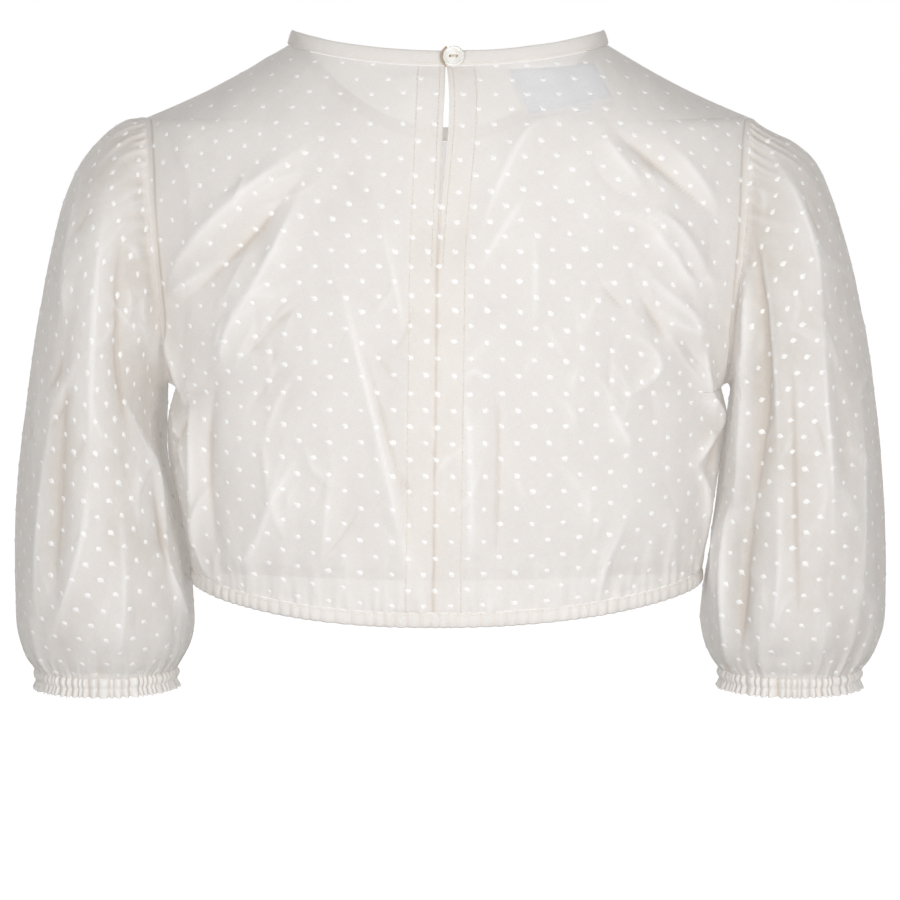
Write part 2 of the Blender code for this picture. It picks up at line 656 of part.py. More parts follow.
def make_button(material):
    """A flat two-hole button with a raised rim, turned about its axis."""
    centre, out = band_frame_at_back()
    stand = BAND_THICKNESS / 2 + 0.35 * MM + LAYER_GAP
    half = BUTTON_THICKNESS
    profile = [
        (BUTTON_RADIUS * 0.70, 0.0),
        (BUTTON_RADIUS, half * 0.45),
        (BUTTON_RADIUS * 0.97, half * 0.85),
        (BUTTON_RADIUS * 0.86, half),
        (BUTTON_RADIUS * 0.68, half - BUTTON_RIM),
    ]
    segments = 28
    points, faces = [(0, 0, 0)], []
    for radius, rise in profile:
        for k in range(segments):
            turn = 2 * math.pi * k / segments
            points.append((radius * math.cos(turn), radius * math.sin(turn), rise))
    points.append((0, 0, half - BUTTON_RIM))
    for k in range(segments):
        after = (k + 1) % segments
        faces.append([0, 1 + after, 1 + k])
        for ring in range(len(profile) - 1):
            low, high = 1 + ring * segments, 1 + (ring + 1) * segments
            faces.append([low + k, low + after, high + after, high + k])
        last = 1 + (len(profile) - 1) * segments
        faces.append([last + k, last + after, len(points) - 1])
    button = add_object("button", points, faces, material)
    place = Matrix.Translation(centre + out * stand) @ out.to_track_quat("Z", "Y").to_matrix().to_4x4()
    button.matrix_world = place
    for side in (1, -1):
        cutter = make_pin(f"hole_cutter_{'left' if side > 0 else 'right'}", material)
        cutter.matrix_world = place @ Matrix.Translation((side * BUTTON_HOLE_SPACING / 2, 0, 0))
        cut = button.modifiers.new("thread hole", "BOOLEAN")
        cut.operation = "DIFFERENCE"
        cut.object = cutter
    return button


def make_pin(name, material):
    """A round cutter for one thread hole."""
    shape = bmesh.new()
    bmesh.ops.create_cone(
        shape,
        cap_ends=True,
        segments=10,
        radius1=BUTTON_HOLE_RADIUS,
        radius2=BUTTON_HOLE_RADIUS,
        depth=6 * BUTTON_THICKNESS,
    )
    mesh = bpy.data.meshes.new(name)
    shape.to_mesh(mesh)
    shape.free()
    mesh.materials.append(material)
    pin = bpy.data.objects.new(name, mesh)
    pin.hide_render = True
    pin.display_type = "WIRE"
    bpy.context.scene.collection.objects.link(pin)
    return pin


def make_loop(material):
    """The thread loop that lies round the button's left rim, on the band."""
    centre, out = band_frame_at_back()
    up = Vector((0, -out.z, out.y))
    stand = BAND_THICKNESS / 2 + 0.35 * MM + LAYER_GAP + LOOP_RADIUS
    reach = BUTTON_RADIUS + LAYER_GAP + LOOP_RADIUS
    curve = bpy.data.curves.new("thread_loop", "CURVE")
    curve.dimensions = "3D"
    spline = curve.splines.new("POLY")
    steps = 12
    spline.points.add(steps)
    for k in range(steps + 1):
        turn = math.radians(-52 + 104 * k / steps)
        place = centre + out * stand + Vector((reach * math.cos(turn), 0, 0)) + up * reach * math.sin(turn)
        spline.points[k].co = (*place, 1)
    curve.bevel_depth = LOOP_RADIUS
    curve.bevel_resolution = 2
    curve.use_fill_caps = True
    curve.materials.append(material)
    loop = bpy.data.objects.new("thread_loop", curve)
    bpy.context.scene.collection.objects.link(loop)
    return loop


def inside_back(halves, x, z):
    """The point and normal of the right back panel behind a place of the back view."""
    points, normals, _ = halves[-1, True]
    flat = points.reshape(-1, 3)
    spots = normals.reshape(-1, 3)
    nearest = np.argmin((flat[:, 0] - x) ** 2 + (flat[:, 2] - z) ** 2)
    normal = spots[nearest]
    off_x, off_z = x - flat[nearest, 0], z - flat[nearest, 2]
    y = flat[nearest, 1] - (normal[0] * off_x + normal[2] * off_z) / normal[1]
    return np.array([x, y, z]), normal


def make_label(name, halves, corners, depth, material):
    """A bare woven label that lies inside the right back panel. Its corners run round it in mm."""
    corners = np.array(corners, float) * MM
    columns, rows = 5, 4
    grid, normals = [], []
    for row in range(rows):
        line, line_normals = [], []
        for step in range(columns):
            u, v = step / (columns - 1), row / (rows - 1)
            top = corners[0] * (1 - u) + corners[1] * u
            bottom = corners[3] * (1 - u) + corners[2] * u
            x, z = top * (1 - v) + bottom * v
            point, normal = inside_back(halves, x, z)
            line.append(point)
            line_normals.append(normal)
        grid.append(line)
        normals.append(line_normals)
    grid = np.array(grid)
    normals = np.array(normals)
    mean = unit(normals.mean(axis=(0, 1)))
    # The label is stiffer than the voile: a plane near its points, moved in clear of them
    flat = grid.reshape(-1, 3)
    middle = flat.mean(axis=0)
    distances = (flat - middle) @ mean
    plane = flat - distances[:, None] * mean + 0.6 * distances[:, None] * mean
    inward = np.min(0.4 * distances)
    place = (plane + mean * inward).reshape(grid.shape)
    even = np.broadcast_to(mean, grid.shape)
    cloth_wall(name, place, even, material, middle=-depth, wall=LABEL_WALL)


def main():
    for obj in list(bpy.data.objects):
        bpy.data.objects.remove(obj)
    cloth = make_material("dotted voile", IVORY, 0.8)
    warm = make_material("folded voile", WARM_IVORY, 0.8)
    pearl = make_material("mother of pearl", PEARL, 0.25)
    thread = make_material("beige thread", THREAD_BEIGE, 0.7)
    white = make_material("woven label", LABEL_WHITE, 0.7)
    halves = make_body(cloth, warm)
    make_sleeves(halves, cloth, warm)
    make_hem_casing(warm)
    make_neckband(warm)
    make_button(pearl)
    make_loop(thread)
    label_depth = WALL / 2 + 2 * LAYER_GAP + LABEL_WALL / 2
    corners = ((-34, -13), (-84, -10), (-94, -29), (-46, -39))
    make_label("neck_label", halves, corners, label_depth, white)
    tab = ((-71, -34.6), (-83, -32.1), (-84.5, -38), (-72.5, -40.5))
    make_label("size_label", halves, tab, label_depth, white)


main()
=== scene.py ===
"""The looks of a short, sheer dirndl blouse of dotted voile, filled out as it is worn.

Metres, +Z up. The wearer faces -Y and the wearer's left is +X, so the back with its slit and button
faces the camera on +Y. Every piece is modelled in place round the frame's solids.
"""

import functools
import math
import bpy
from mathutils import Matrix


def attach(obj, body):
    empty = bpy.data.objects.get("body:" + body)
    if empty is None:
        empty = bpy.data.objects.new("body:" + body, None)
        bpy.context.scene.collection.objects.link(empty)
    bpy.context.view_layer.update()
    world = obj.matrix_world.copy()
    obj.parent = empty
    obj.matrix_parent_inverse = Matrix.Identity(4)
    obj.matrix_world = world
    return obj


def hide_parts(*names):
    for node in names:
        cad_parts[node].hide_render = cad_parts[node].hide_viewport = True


bl_info = {
    "name": "Dirndl Blouse",
    "version": (1, 0, 0),
    "blender": (4, 5, 0),
    "location": "3D View > Sidebar > Blouse",
    "description": "Builds a sheer dotted blouse with gathered sleeves round its frame",
    "category": "Add Mesh",
}

from collections import namedtuple

import bmesh
import bpy
import numpy as np
from bpy.props import FloatProperty, IntProperty, PointerProperty
from mathutils import Matrix, Vector

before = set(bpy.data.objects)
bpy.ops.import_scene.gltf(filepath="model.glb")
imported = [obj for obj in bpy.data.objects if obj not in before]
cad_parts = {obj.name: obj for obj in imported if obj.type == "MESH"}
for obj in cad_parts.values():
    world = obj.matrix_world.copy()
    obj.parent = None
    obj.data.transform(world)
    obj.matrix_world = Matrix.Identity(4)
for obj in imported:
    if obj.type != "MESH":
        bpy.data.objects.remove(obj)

MM = 0.001

# Levels of the body, from 0 at the hem to 1 at the neck
UNDERARM_LEVEL = 0.40
TIP_LEVEL = 0.88

# The armhole: an egg-shaped ring from the underarm up to the shoulder tip
UNDERARM_Z = -203 * MM
UNDERARM_X = 163 * MM
TIP_X = 179 * MM
TIP_Y = 12 * MM
TIP_Z = -43 * MM
ARMHOLE_BACK_BOW = 46 * MM
ARMHOLE_FRONT_BOW = 54 * MM
TIP_SQUARENESS = 0.24

# Neck and its band
NECK_SIDE = (94.5 * MM, 7 * MM, 0 * MM)
BAND_HEIGHT = 9.0 * MM
BAND_THICKNESS = 1.6 * MM
BAND_LEAN = 0.30

# Hem casing
CASING_HEIGHT = 8.5 * MM
CASING_RIDGES = 118

# Centre-back slit, facings and seam allowances
SLIT_END_Z = -124 * MM
SLIT_TOP_Z = -12 * MM
SLIT_WIDTH = 2.6 * MM
SEAM_GAP = 0.3 * MM
FACING_WIDTH = 17 * MM
ALLOWANCE_WIDTH = 6 * MM
LAYER_DEPTH = 0.8 * MM

# Cuffs
CUFF_TOP_Z = -373.6 * MM
CUFF_RIDGES = 62
CUFF_CASING_HEIGHT = 6.5 * MM
CUFF_FRILL_HEIGHT = 5.0 * MM

# Button and loop
BUTTON_RADIUS = 6.2 * MM
BUTTON_THICKNESS = 2.2 * MM
BUTTON_HOLE_RADIUS = 0.85 * MM
BUTTON_HOLE_SPACING = 3.6 * MM
BUTTON_X = -3.2 * MM
LOOP_RADIUS = 0.55 * MM

# Cells of the cloth's grids
FINE = 320
ROWS_BELOW_ARM = 92
ARMHOLE_ROWS_COUNT = 104
SHOULDER_ROWS = 46
PANEL_CELLS = 150
SLEEVE_CELLS = 150
SLEEVE_SHARE = 2

# How much farther apart the tufts of one row lie round a sleeve, whose flat cloth is measured at mid girth
SLEEVE_TUFT_STRETCH = 1.25

# Shape of the placed folds: their share of the stated width, how soft the crest is, and the height
# in mm at which the painted highlight line along it is strongest
CREASE_SPREAD = 0.8
CREASE_SOFTNESS = 1.2
FULL_PAINTED_LINE_HEIGHT = 3

# Half width of the painted highlight line on a fold's crest and of the painted shade line beside the
# armhole, reach of the painted shade along the centre seam, and the steps of a fold's path
PAINTED_LINE_WIDTH = 1.5 * MM
SEAM_SHADE_WIDTH = 1.2 * MM
CREASE_STEPS = 160

BodyRow = namedtuple("BodyRow", "level back_z back_y drift front_z front_y side_x side_z left_out")
BODY_ROWS = [
    BodyRow(0.00, -328.0, 88, 8.5, -324, -86, 152.0, -311.5, 1.5),
    BodyRow(0.06, -310.0, 92, 8.5, -306, -92, 154.5, -296.0, 2.0),
    BodyRow(0.15, -282.0, 97, 8.0, -279, -99, 159.0, -273.0, 2.5),
    BodyRow(0.27, -243.0, 101, 7.5, -241, -106, 165.0, -240.0, 2.5),
    BodyRow(0.34, -221.0, 103, 7.2, -221, -108, 166.5, -220.0, 1.0),
    BodyRow(0.40, -202.0, 104, 7.0, -203, -109, 163.0, -203.0, 0.0),
    BodyRow(0.52, -163.0, 105, 6.5, -171, -107, 168.0, -203.0, 0.0),
    BodyRow(0.64, -124.0, 103, 6.0, -140, -102, 171.0, -203.0, 0.0),
    BodyRow(0.76, -82.0, 96, 4.0, -109, -94, 172.5, -203.0, 0.0),
    BodyRow(0.88, -43.0, 84, 2.0, -84, -84, 179.0, -203.0, 0.0),
    BodyRow(0.95, -24.0, 75, 1.2, -69, -76, 129.0, -203.0, 0.0),
    BodyRow(1.00, -12.0, 68, 1.0, -59, -69, 94.5, -203.0, 0.0),
]

# Half width across the back and the front at the armhole, from the underarm (0) to the tip (1)
ArmholeRow = namedtuple("ArmholeRow", "share back_x front_x")
ARMHOLE_ROWS = [
    ArmholeRow(0.00, 163.0, 163.0),
    ArmholeRow(0.15, 166.5, 164.0),
    ArmholeRow(0.35, 169.5, 161.0),
    ArmholeRow(0.60, 174.5, 161.5),
    ArmholeRow(0.80, 176.5, 168.0),
    ArmholeRow(1.00, 179.0, 179.0),
]

# The sleeve from behind: the outer and inner point of each ring, its half depth, and how much farther
# out the right sleeve's outer point, farther in its inner point and lower its outer point lies
SleeveRow = namedtuple(
    "SleeveRow", "outer_x outer_z inner_x inner_z half_depth y_mid right_out right_in right_drop"
)
SLEEVE_ROWS = [
    SleeveRow(179.0, -43.0, 163.0, -203.0, 48, 6, 0, 0, 0),
    SleeveRow(190.0, -45.5, 167.0, -201.5, 57, 6, 0, 0, 4.5),
    SleeveRow(204.0, -54.5, 170.5, -204.5, 65, 5, 0.5, 1, 2.5),
    SleeveRow(217.0, -69.0, 171.5, -211.0, 70, 4, 1, 2, 0),
    SleeveRow(228.0, -94.0, 173.0, -220.0, 74, 3, 1.5, 5, 0),
    SleeveRow(236.5, -125.0, 173.0, -233.0, 76, 2, 2, 7, 0),
    SleeveRow(245.0, -165.0, 171.5, -249.0, 77, 1, 2.5, 7.5, 0),
    SleeveRow(251.5, -205.0, 166.5, -266.0, 77, 0, 3, 4.5, 0),
    SleeveRow(257.0, -250.0, 161.0, -287.0, 76, 0, 3.5, 1.5, 0),
    SleeveRow(260.0, -300.0, 156.5, -316.0, 73, 0, 4, 1, 0),
    SleeveRow(259.5, -340.0, 153.5, -343.0, 66, 0, 3, -1, 0),
    SleeveRow(256.0, -359.0, 156.0, -360.0, 56, 0, 1, -1, 0),
    SleeveRow(248.5, -373.5, 164.5, -373.5, 45, 0, 0, 0, 0),
]
SLEEVE_BLEND_ROWS = 6

# Folds given one by one, in mm as seen from behind: three points of each, its height (a trough is
# negative) and the widths of its left and right slope
Crease = namedtuple("Crease", "x1 z1 x2 z2 x3 z3 height before after")
BACK_CREASES = [
    Crease(85, -60, 127, -93, 160, -128, 4.2, 9, 6),
    Crease(82, -72, 118, -115, 158, -152, -3.6, 7, 9),
    Crease(83, -80, 105, -126, 132, -171, 3.4, 8, 8),
    Crease(137, -128, 152, -138, 164, -146, 3.0, 6, 6),
    Crease(121, -148, 129, -170, 131, -182, 2.6, 6, 7),
    Crease(42, -86, 29, -141, 26, -164, 2.2, 7, 9),
    Crease(63, -135, 43, -210, 20, -318, 3.6, 10, 7),
    Crease(55, -150, 37, -215, 16, -300, -2.2, 6, 8),
    Crease(67, -233, 70, -270, 74, -304, 2.0, 8, 8),
    Crease(94, -225, 109, -283, 127, -305, 2.6, 10, 9),
    Crease(-57, -41, -37, -63, -14, -121, 3.0, 8, 10),
    Crease(-45, -84, -32, -104, -16, -130, 2.2, 7, 7),
    Crease(-87, -49, -100, -66, -114, -82, 2.6, 6, 8),
    Crease(-114, -93, -135, -108, -156, -145, 4.0, 8, 6),
    Crease(-96, -49, -121, -70, -158, -102, -4.0, 6, 9),
    Crease(-128, -56, -146, -78, -157, -96, 2.6, 6, 6),
    Crease(-117, -103, -129, -121, -156, -151, 2.4, 5, 5),
    Crease(-109, -125, -130, -146, -153, -165, 3.2, 7, 5),
    Crease(-153, -165, -138, -163, -120, -150, 2.6, 5, 6),
    Crease(-109, -140, -119, -158, -129, -171, -2.2, 5, 6),
    Crease(-48, -105, -50, -135, -48, -167, 2.0, 7, 7),
    Crease(-96, -159, -122, -184, -96, -203, 3.4, 6, 8),
    Crease(-92, -205, -101, -222, -106, -233, 2.4, 6, 7),
    Crease(-9, -194, -13, -245, -12, -318, 3.0, 6, 9),
    Crease(-26, -194, -29, -236, -26, -318, -3.0, 7, 5),
    Crease(-9, -196, -15, -186, -25, -196, 2.0, 5, 6),
    Crease(-106, -268, -93, -297, -88, -318, 2.6, 8, 8),
    Crease(152, -196, 149, -250, 151, -302, 5.0, 3, 6),
    Crease(168, -168, 160, -190, 152, -216, 4.5, 3, 5),
    Crease(164, -214, 157, -236, 150, -264, 4.2, 3, 5),
    Crease(150, -204, 158, -230, 164, -250, -4.0, 3, 4),
    Crease(140, -256, 148, -288, 138, -318, 4.0, 3, 6),
    Crease(135, -196, 140, -246, 134, -304, -3.2, 6, 7),
    Crease(-150, -176, -152, -196, -156, -216, 4.6, 5, 4),
    Crease(-146, -206, -160, -216, -157, -234, 4.6, 5, 3),
    Crease(-160, -226, -158, -240, -152, -252, -4.2, 3, 3),
    Crease(-146, -246, -152, -234, -158, -227, 3.6, 3, 3),
    Crease(-145, -246, -152, -266, -150, -304, 3.8, 3, 5),
]
FRONT_CREASES = [
    Crease(92, -52, 66, -104, 24, -150, 3.6, 10, 8),
    Crease(-90, -54, -58, -112, -20, -152, 3.4, 8, 10),
    Crease(100, -64, 126, -98, 150, -138, 3.0, 8, 8),
    Crease(-104, -66, -128, -104, -150, -132, 3.0, 8, 8),
    Crease(122, -150, 98, -230, 88, -312, 3.6, 10, 8),
    Crease(-120, -158, -102, -226, -84, -312, 3.6, 9, 9),
    Crease(36, -190, 30, -250, 42, -316, 2.6, 8, 10),
    Crease(-30, -184, -44, -252, -34, -316, -2.4, 9, 8),
    Crease(62, -206, 58, -262, 66, -318, -2.2, 7, 7),
    Crease(-62, -214, -66, -262, -60, -316, 2.6, 8, 7),
    Crease(6, -140, 2, -210, 8, -296, 1.8, 9, 9),
]
# Folds of the sleeves' back half, with x measured outwards from the middle of the body
LEFT_SLEEVE_CREASES = [
    Crease(199, -90, 205, -165, 208, -246, 4.2, 11, 8),
    Crease(208, -240, 217, -302, 238, -352, 3.6, 9, 9),
    Crease(190, -110, 192, -170, 186, -236, -3.0, 8, 8),
    Crease(188, -206, 174, -256, 166, -300, 5.0, 7, 2.5),
    Crease(168, -290, 164, -316, 154, -346, 4.4, 6, 2.5),
    Crease(178, -250, 170, -286, 164, -330, -3.6, 5, 3),
    Crease(229, -200, 240, -284, 241, -340, 3.0, 8, 7),
    Crease(220, -180, 226, -250, 230, -320, -2.4, 8, 8),
    Crease(192, -268, 190, -320, 196, -360, 2.6, 8, 8),
    Crease(214, -70, 220, -110, 226, -160, 2.6, 8, 8),
]
RIGHT_SLEEVE_CREASES = [
    Crease(187, -60, 209, -108, 217, -160, 4.4, 9, 9),
    Crease(216, -152, 220, -215, 226, -296, 3.6, 9, 9),
    Crease(173, -120, 176, -190, 170, -278, 6.5, 2.5, 7),
    Crease(171, -262, 165, -312, 167, -366, 6.0, 2.5, 7),
    Crease(178, -112, 184, -185, 177, -284, -6.0, 8, 3),
    Crease(178, -272, 174, -320, 173, -358, -4.6, 7, 3),
    Crease(163, -226, 161, -280, 160, -340, 3.0, 2.5, 4),
    Crease(182, -114, 188, -170, 192, -236, 3.2, 6, 8),
    Crease(241, -200, 244, -270, 242, -336, 2.6, 7, 8),
    Crease(200, -180, 202, -260, 206, -340, -2.2, 9, 9),
    Crease(192, -250, 194, -310, 188, -360, 2.4, 8, 8),
]

# Corners of the bare labels, in mm as seen from behind
NECK_LABEL = ((-34, -12), (-86, -9), (-97, -31), (-46, -41))
SIZE_LABEL = ((-71, -34.6), (-83, -32.1), (-84.5, -38), (-72.5, -40.5))

# Colours: the voile's painted shade for fold troughs, its plain ivory and its painted highlight for crests, then
# tufts, loop thread and labels
PAINTED_SHADE_IVORY = (0.68, 0.605, 0.53)
IVORY = (0.87, 0.835, 0.80)
PAINTED_HIGHLIGHT_IVORY = (0.93, 0.91, 0.89)
TUFT_WHITE = (0.93, 0.92, 0.905)
THREAD_BEIGE = (0.50, 0.38, 0.26)
LABEL_WHITE = (0.80, 0.85, 0.96)

# How much less the cloth hides where it lies close over a label
LABEL_SHOWS = 0.9

# Share of the voile's hiding that is left on the side that faces into the blouse, and of the tufts'
INSIDE_VOILE_SHARE = 0.55
INSIDE_TUFT_SHARE = 0.3

# How much of the light falls on the cloth from behind and comes through
THROUGH_SHARE = 0.25

# How much folded layers and facings hide
FOLDED_OPACITY = 0.78
FACING_OPACITY = 0.55

Panel = namedtuple("Panel", "points normals across rise fullness relief edges")


class BlouseSettings(bpy.types.PropertyGroup):
    opacity: FloatProperty(
        name="Opacity", description="How much the body's voile hides", default=0.80, min=0, max=1
    )
    sleeve_opacity: FloatProperty(
        name="Sleeve opacity", description="How much the sleeves' voile hides", default=0.64, min=0, max=1
    )
    tuft_pitch: FloatProperty(
        name="Tuft pitch", description="Distance between tufts of one row",
        default=0.0186, min=0.005, unit="LENGTH"
    )
    tuft_rise: FloatProperty(
        name="Tuft rise", description="Distance between rows of tufts",
        default=0.0094, min=0.003, unit="LENGTH"
    )
    tuft_size: FloatProperty(
        name="Tuft size", description="Width of one tuft", default=0.0033, min=0.001, unit="LENGTH"
    )
    stitch_pitch: FloatProperty(
        name="Stitch pitch", description="Distance between stitches", default=0.0026, min=0.001, unit="LENGTH"
    )
    seed: IntProperty(
        name="Seed", description="Seed of the tufts' and stitches' unevenness", default=7, min=0
    )


def along(stations, values, at):
    """A smooth curve through values at the stations, read at each place in at."""
    stations = np.asarray(stations, float)
    values = np.asarray(values, float)
    at = np.asarray(at, float)
    slopes = np.gradient(values, stations)
    first = np.clip(np.searchsorted(stations, at, side="right") - 1, 0, len(stations) - 2)
    span = stations[first + 1] - stations[first]
    u = (at - stations[first]) / span
    start = (2 * u**3 - 3 * u**2 + 1) * values[first] + (u**3 - 2 * u**2 + u) * span * slopes[first]
    end = (3 * u**2 - 2 * u**3) * values[first + 1] + (u**3 - u**2) * span * slopes[first + 1]
    return start + end


def column(rows, key, name, at):
    return along([getattr(row, key) for row in rows], [getattr(row, name) for row in rows], at)


def unit(vectors):
    length = np.linalg.norm(vectors, axis=-1, keepdims=True)
    return vectors / np.maximum(length, 1e-12)


def smooth(values):
    """0 to 1 with a soft start and end."""
    values = np.clip(values, 0, 1)
    return values * values * (3 - 2 * values)


def lengths_along(points):
    steps = np.linalg.norm(np.diff(points, axis=0), axis=1)
    return np.concatenate([[0.0], np.cumsum(steps)])


def read_at(points, lengths, wanted):
    return np.stack([np.interp(wanted, lengths, points[:, k]) for k in range(3)], axis=1)


def unevenness(u, v, seed, wrap=0):
    """Soft bumps between -1 and 1 over the plane of u and v. They repeat in u after wrap cells."""
    table = np.random.default_rng(seed).uniform(-1, 1, (97, 97))
    low_u, low_v = np.floor(u).astype(int), np.floor(v).astype(int)
    part_u, part_v = smooth(u - low_u), smooth(v - low_v)
    turn = wrap or 97
    a, b = low_u % turn % 97, (low_u + 1) % turn % 97
    c, d = low_v % 97, (low_v + 1) % 97
    low = table[a, c] * (1 - part_u) + table[b, c] * part_u
    high = table[a, d] * (1 - part_u) + table[b, d] * part_u
    return low * (1 - part_v) + high * part_v


def edge_point(level, side, back):
    """The panel's outer edge: side seam, then armhole, then shoulder seam."""
    if level <= UNDERARM_LEVEL:
        x = column(BODY_ROWS, "level", "side_x", level) * MM
        if side > 0:
            x += column(BODY_ROWS, "level", "left_out", level) * MM
        z = column(BODY_ROWS, "level", "side_z", level) * MM
        return np.array([side * x, 0.0, z])
    if level <= TIP_LEVEL:
        share = (level - UNDERARM_LEVEL) / (TIP_LEVEL - UNDERARM_LEVEL)
        bow = ARMHOLE_BACK_BOW if back else -ARMHOLE_FRONT_BOW
        x = column(ARMHOLE_ROWS, "share", "back_x" if back else "front_x", share) * MM
        y = bow * math.sin(math.pi * share) ** 0.9 + TIP_Y * share**2
        z = UNDERARM_Z + (TIP_Z - UNDERARM_Z) * (1 - math.cos(math.pi * share)) / 2
        return np.array([side * x, y, z])
    share = (level - TIP_LEVEL) / (1 - TIP_LEVEL)
    tip = np.array([side * TIP_X, TIP_Y, TIP_Z])
    neck = np.array([side * NECK_SIDE[0], NECK_SIDE[1], NECK_SIDE[2]])
    dip = np.array([0, 0, -2.5 * MM * math.sin(math.pi * share)])
    return tip + (neck - tip) * share + dip


def body_row(level, side, back):
    """Closely spaced points of one row, from the centre line to the panel's outer edge."""
    edge = edge_point(level, side, back)
    place = "back" if back else "front"
    centre_x = column(BODY_ROWS, "level", "drift", level) * MM if back else 0.0
    centre_y = column(BODY_ROWS, "level", place + "_y", level) * MM
    centre_z = column(BODY_ROWS, "level", place + "_z", level) * MM
    turn = 1.0
    if UNDERARM_LEVEL < level < TIP_LEVEL:
        share = (level - UNDERARM_LEVEL) / (TIP_LEVEL - UNDERARM_LEVEL)
        turn -= 0.30 * math.sin(math.pi * share) + TIP_SQUARENESS * share**2
    elif level >= TIP_LEVEL:
        turn -= TIP_SQUARENESS * (1 - level) / (1 - TIP_LEVEL)
    boxy = 0.86
    last = turn * math.pi / 2
    theta = np.linspace(0, last, FINE + 1)
    across = (np.sin(theta) / math.sin(last)) ** boxy
    rest = max(math.cos(last), 0.0) ** boxy
    fall = (np.maximum(np.cos(theta), 0) ** boxy - rest) / (1 - rest)
    rise = smooth(theta / last)
    return np.stack(
        [
            centre_x + (edge[0] - centre_x) * across,
            edge[1] + (centre_y - edge[1]) * fall,
            centre_z + (edge[2] - centre_z) * rise,
        ],
        axis=1,
    )


def slit_half(z, side):
    """Half the gap between the two back panels at this height: wider in the slit, on the right side."""
    half = 0.02 * MM
    if z > SLIT_END_Z:
        share = min((z - SLIT_END_Z) / (SLIT_TOP_Z - SLIT_END_Z), 1.0)
        opening = math.sin(math.pi * share**2) if share < 1 else 0.0
        half += (0.15 if side > 0 else 0.85) * SLIT_WIDTH * max(opening, 0.0) + 0.3 * MM * share
    return half


def panel_levels():
    below = np.linspace(0, UNDERARM_LEVEL, ROWS_BELOW_ARM + 1)
    arm = np.linspace(UNDERARM_LEVEL, TIP_LEVEL, ARMHOLE_ROWS_COUNT + 1)[1:]
    above = np.linspace(TIP_LEVEL, 1, SHOULDER_ROWS + 1)[1:]
    return np.concatenate([below, arm, above])


def grid_normals(points):
    return unit(np.cross(np.gradient(points, axis=1), np.gradient(points, axis=0)))


def crease_height(creases, x, z):
    """How far the placed folds push the cloth out at the places x, z of the back or front view, and the
    thin painted highlight line that runs along each crest (a painted shade line along a trough)."""
    height, line = np.zeros_like(x), np.zeros_like(x)
    for crease in creases:
        ends = np.array([[crease.x1, crease.z1], [crease.x3, crease.z3]]) * MM
        middle = np.array([crease.x2, crease.z2]) * MM
        bend = 2 * middle - (ends[0] + ends[1]) / 2
        u = np.linspace(0, 1, CREASE_STEPS + 1)[:, None]
        path = ends[0] * (1 - u) ** 2 + bend * 2 * u * (1 - u) + ends[1] * u**2
        run = unit(np.gradient(path, axis=0))
        widest = 3 * max(crease.before, crease.after) * MM
        low, high = path.min(axis=0) - widest, path.max(axis=0) + widest
        near = (x > low[0]) & (x < high[0]) & (z > low[1]) & (z < high[1])
        if not near.any():
            continue
        off_x = x[near][:, None] - path[:, 0]
        off_z = z[near][:, None] - path[:, 1]
        gaps = np.hypot(off_x, off_z)
        nearest = gaps.argmin(axis=1)
        pick = np.arange(len(nearest))
        side = off_x[pick, nearest] * run[nearest, 1] - off_z[pick, nearest] * run[nearest, 0]
        width = np.where(side < 0, crease.before, crease.after) * MM
        taper = np.sin(np.pi * np.clip(nearest / CREASE_STEPS, 0.04, 0.96)) ** 0.7
        reach = gaps[pick, nearest]
        height[near] += crease.height * MM * taper * np.exp(-((reach / (CREASE_SPREAD * width)) ** CREASE_SOFTNESS))
        # The line is painted light: a highlight along a crest and a shade along a trough
        strength = np.clip(crease.height / FULL_PAINTED_LINE_HEIGHT, -0.7, 0.9)
        line[near] += strength * taper**2 * np.exp(-((reach / PAINTED_LINE_WIDTH) ** 2))
    return height, line


def fine_folds(seed, count, low, high, lean):
    """Short fine folds strewn between two corners (mm, as seen from behind), most of them leaning one way."""
    rng = np.random.default_rng(seed)
    folds = []
    for _ in range(count):
        x = low[0] + (high[0] - low[0]) * rng.random()
        z = low[1] + (high[1] - low[1]) * rng.random()
        length = rng.uniform(14, 46)
        angle = lean + rng.normal(0, 0.45)
        bow = rng.uniform(-0.18, 0.18) * length
        run_x, run_z = math.sin(angle) * length, -math.cos(angle) * length
        middle = (x + run_x / 2 + bow * math.cos(angle), z + run_z / 2 + bow * math.sin(angle))
        height = rng.uniform(0.5, 1.5) * rng.choice((1, 1, -1))
        before, after = rng.uniform(2, 5), rng.uniform(2, 5)
        folds.append(Crease(x, z, *middle, x + run_x, z + run_z, height, before, after))
    return folds


def inside_corners(corners, x, z, edge):
    """1 inside a four-cornered patch of the back view and 0 outside it, with a soft edge of this width."""
    corners = np.array(corners, float) * MM
    middle = corners.mean(axis=0)
    gap = np.full(x.shape, np.inf)
    for start, end in zip(corners, np.roll(corners, -1, axis=0)):
        run = unit(end - start)
        sign = np.sign(run[0] * (middle[1] - start[1]) - run[1] * (middle[0] - start[0]))
        gap = np.minimum(gap, sign * (run[0] * (z - start[1]) - run[1] * (x - start[0])))
    return smooth(gap / edge)


def gathers(across, distance, spots, seed, reach, depth, width):
    """Creases that run into the cloth from a gathered edge at distance 0, at the given spots across it."""
    rng = np.random.default_rng(seed)
    height = np.zeros_like(across)
    for spot in spots:
        length = rng.uniform(*reach)
        strength = depth * rng.uniform(0.55, 1.3)
        half = width * rng.uniform(0.7, 1.3)
        lean = rng.uniform(-0.22, 0.22)
        near = (distance < length) & (np.abs(across - spot) < 6 * half + 0.25 * length)
        if not near.any():
            continue
        far = distance[near] / length
        off = (across[near] - spot - lean * distance[near] * far) / (half * (1 + 1.4 * far))
        ridge = np.exp(-np.abs(off) ** 1.7) - 0.25 * np.exp(-((off / 2.2) ** 2))
        height[near] += strength * (1 - far) ** 0.9 * ridge
    return height


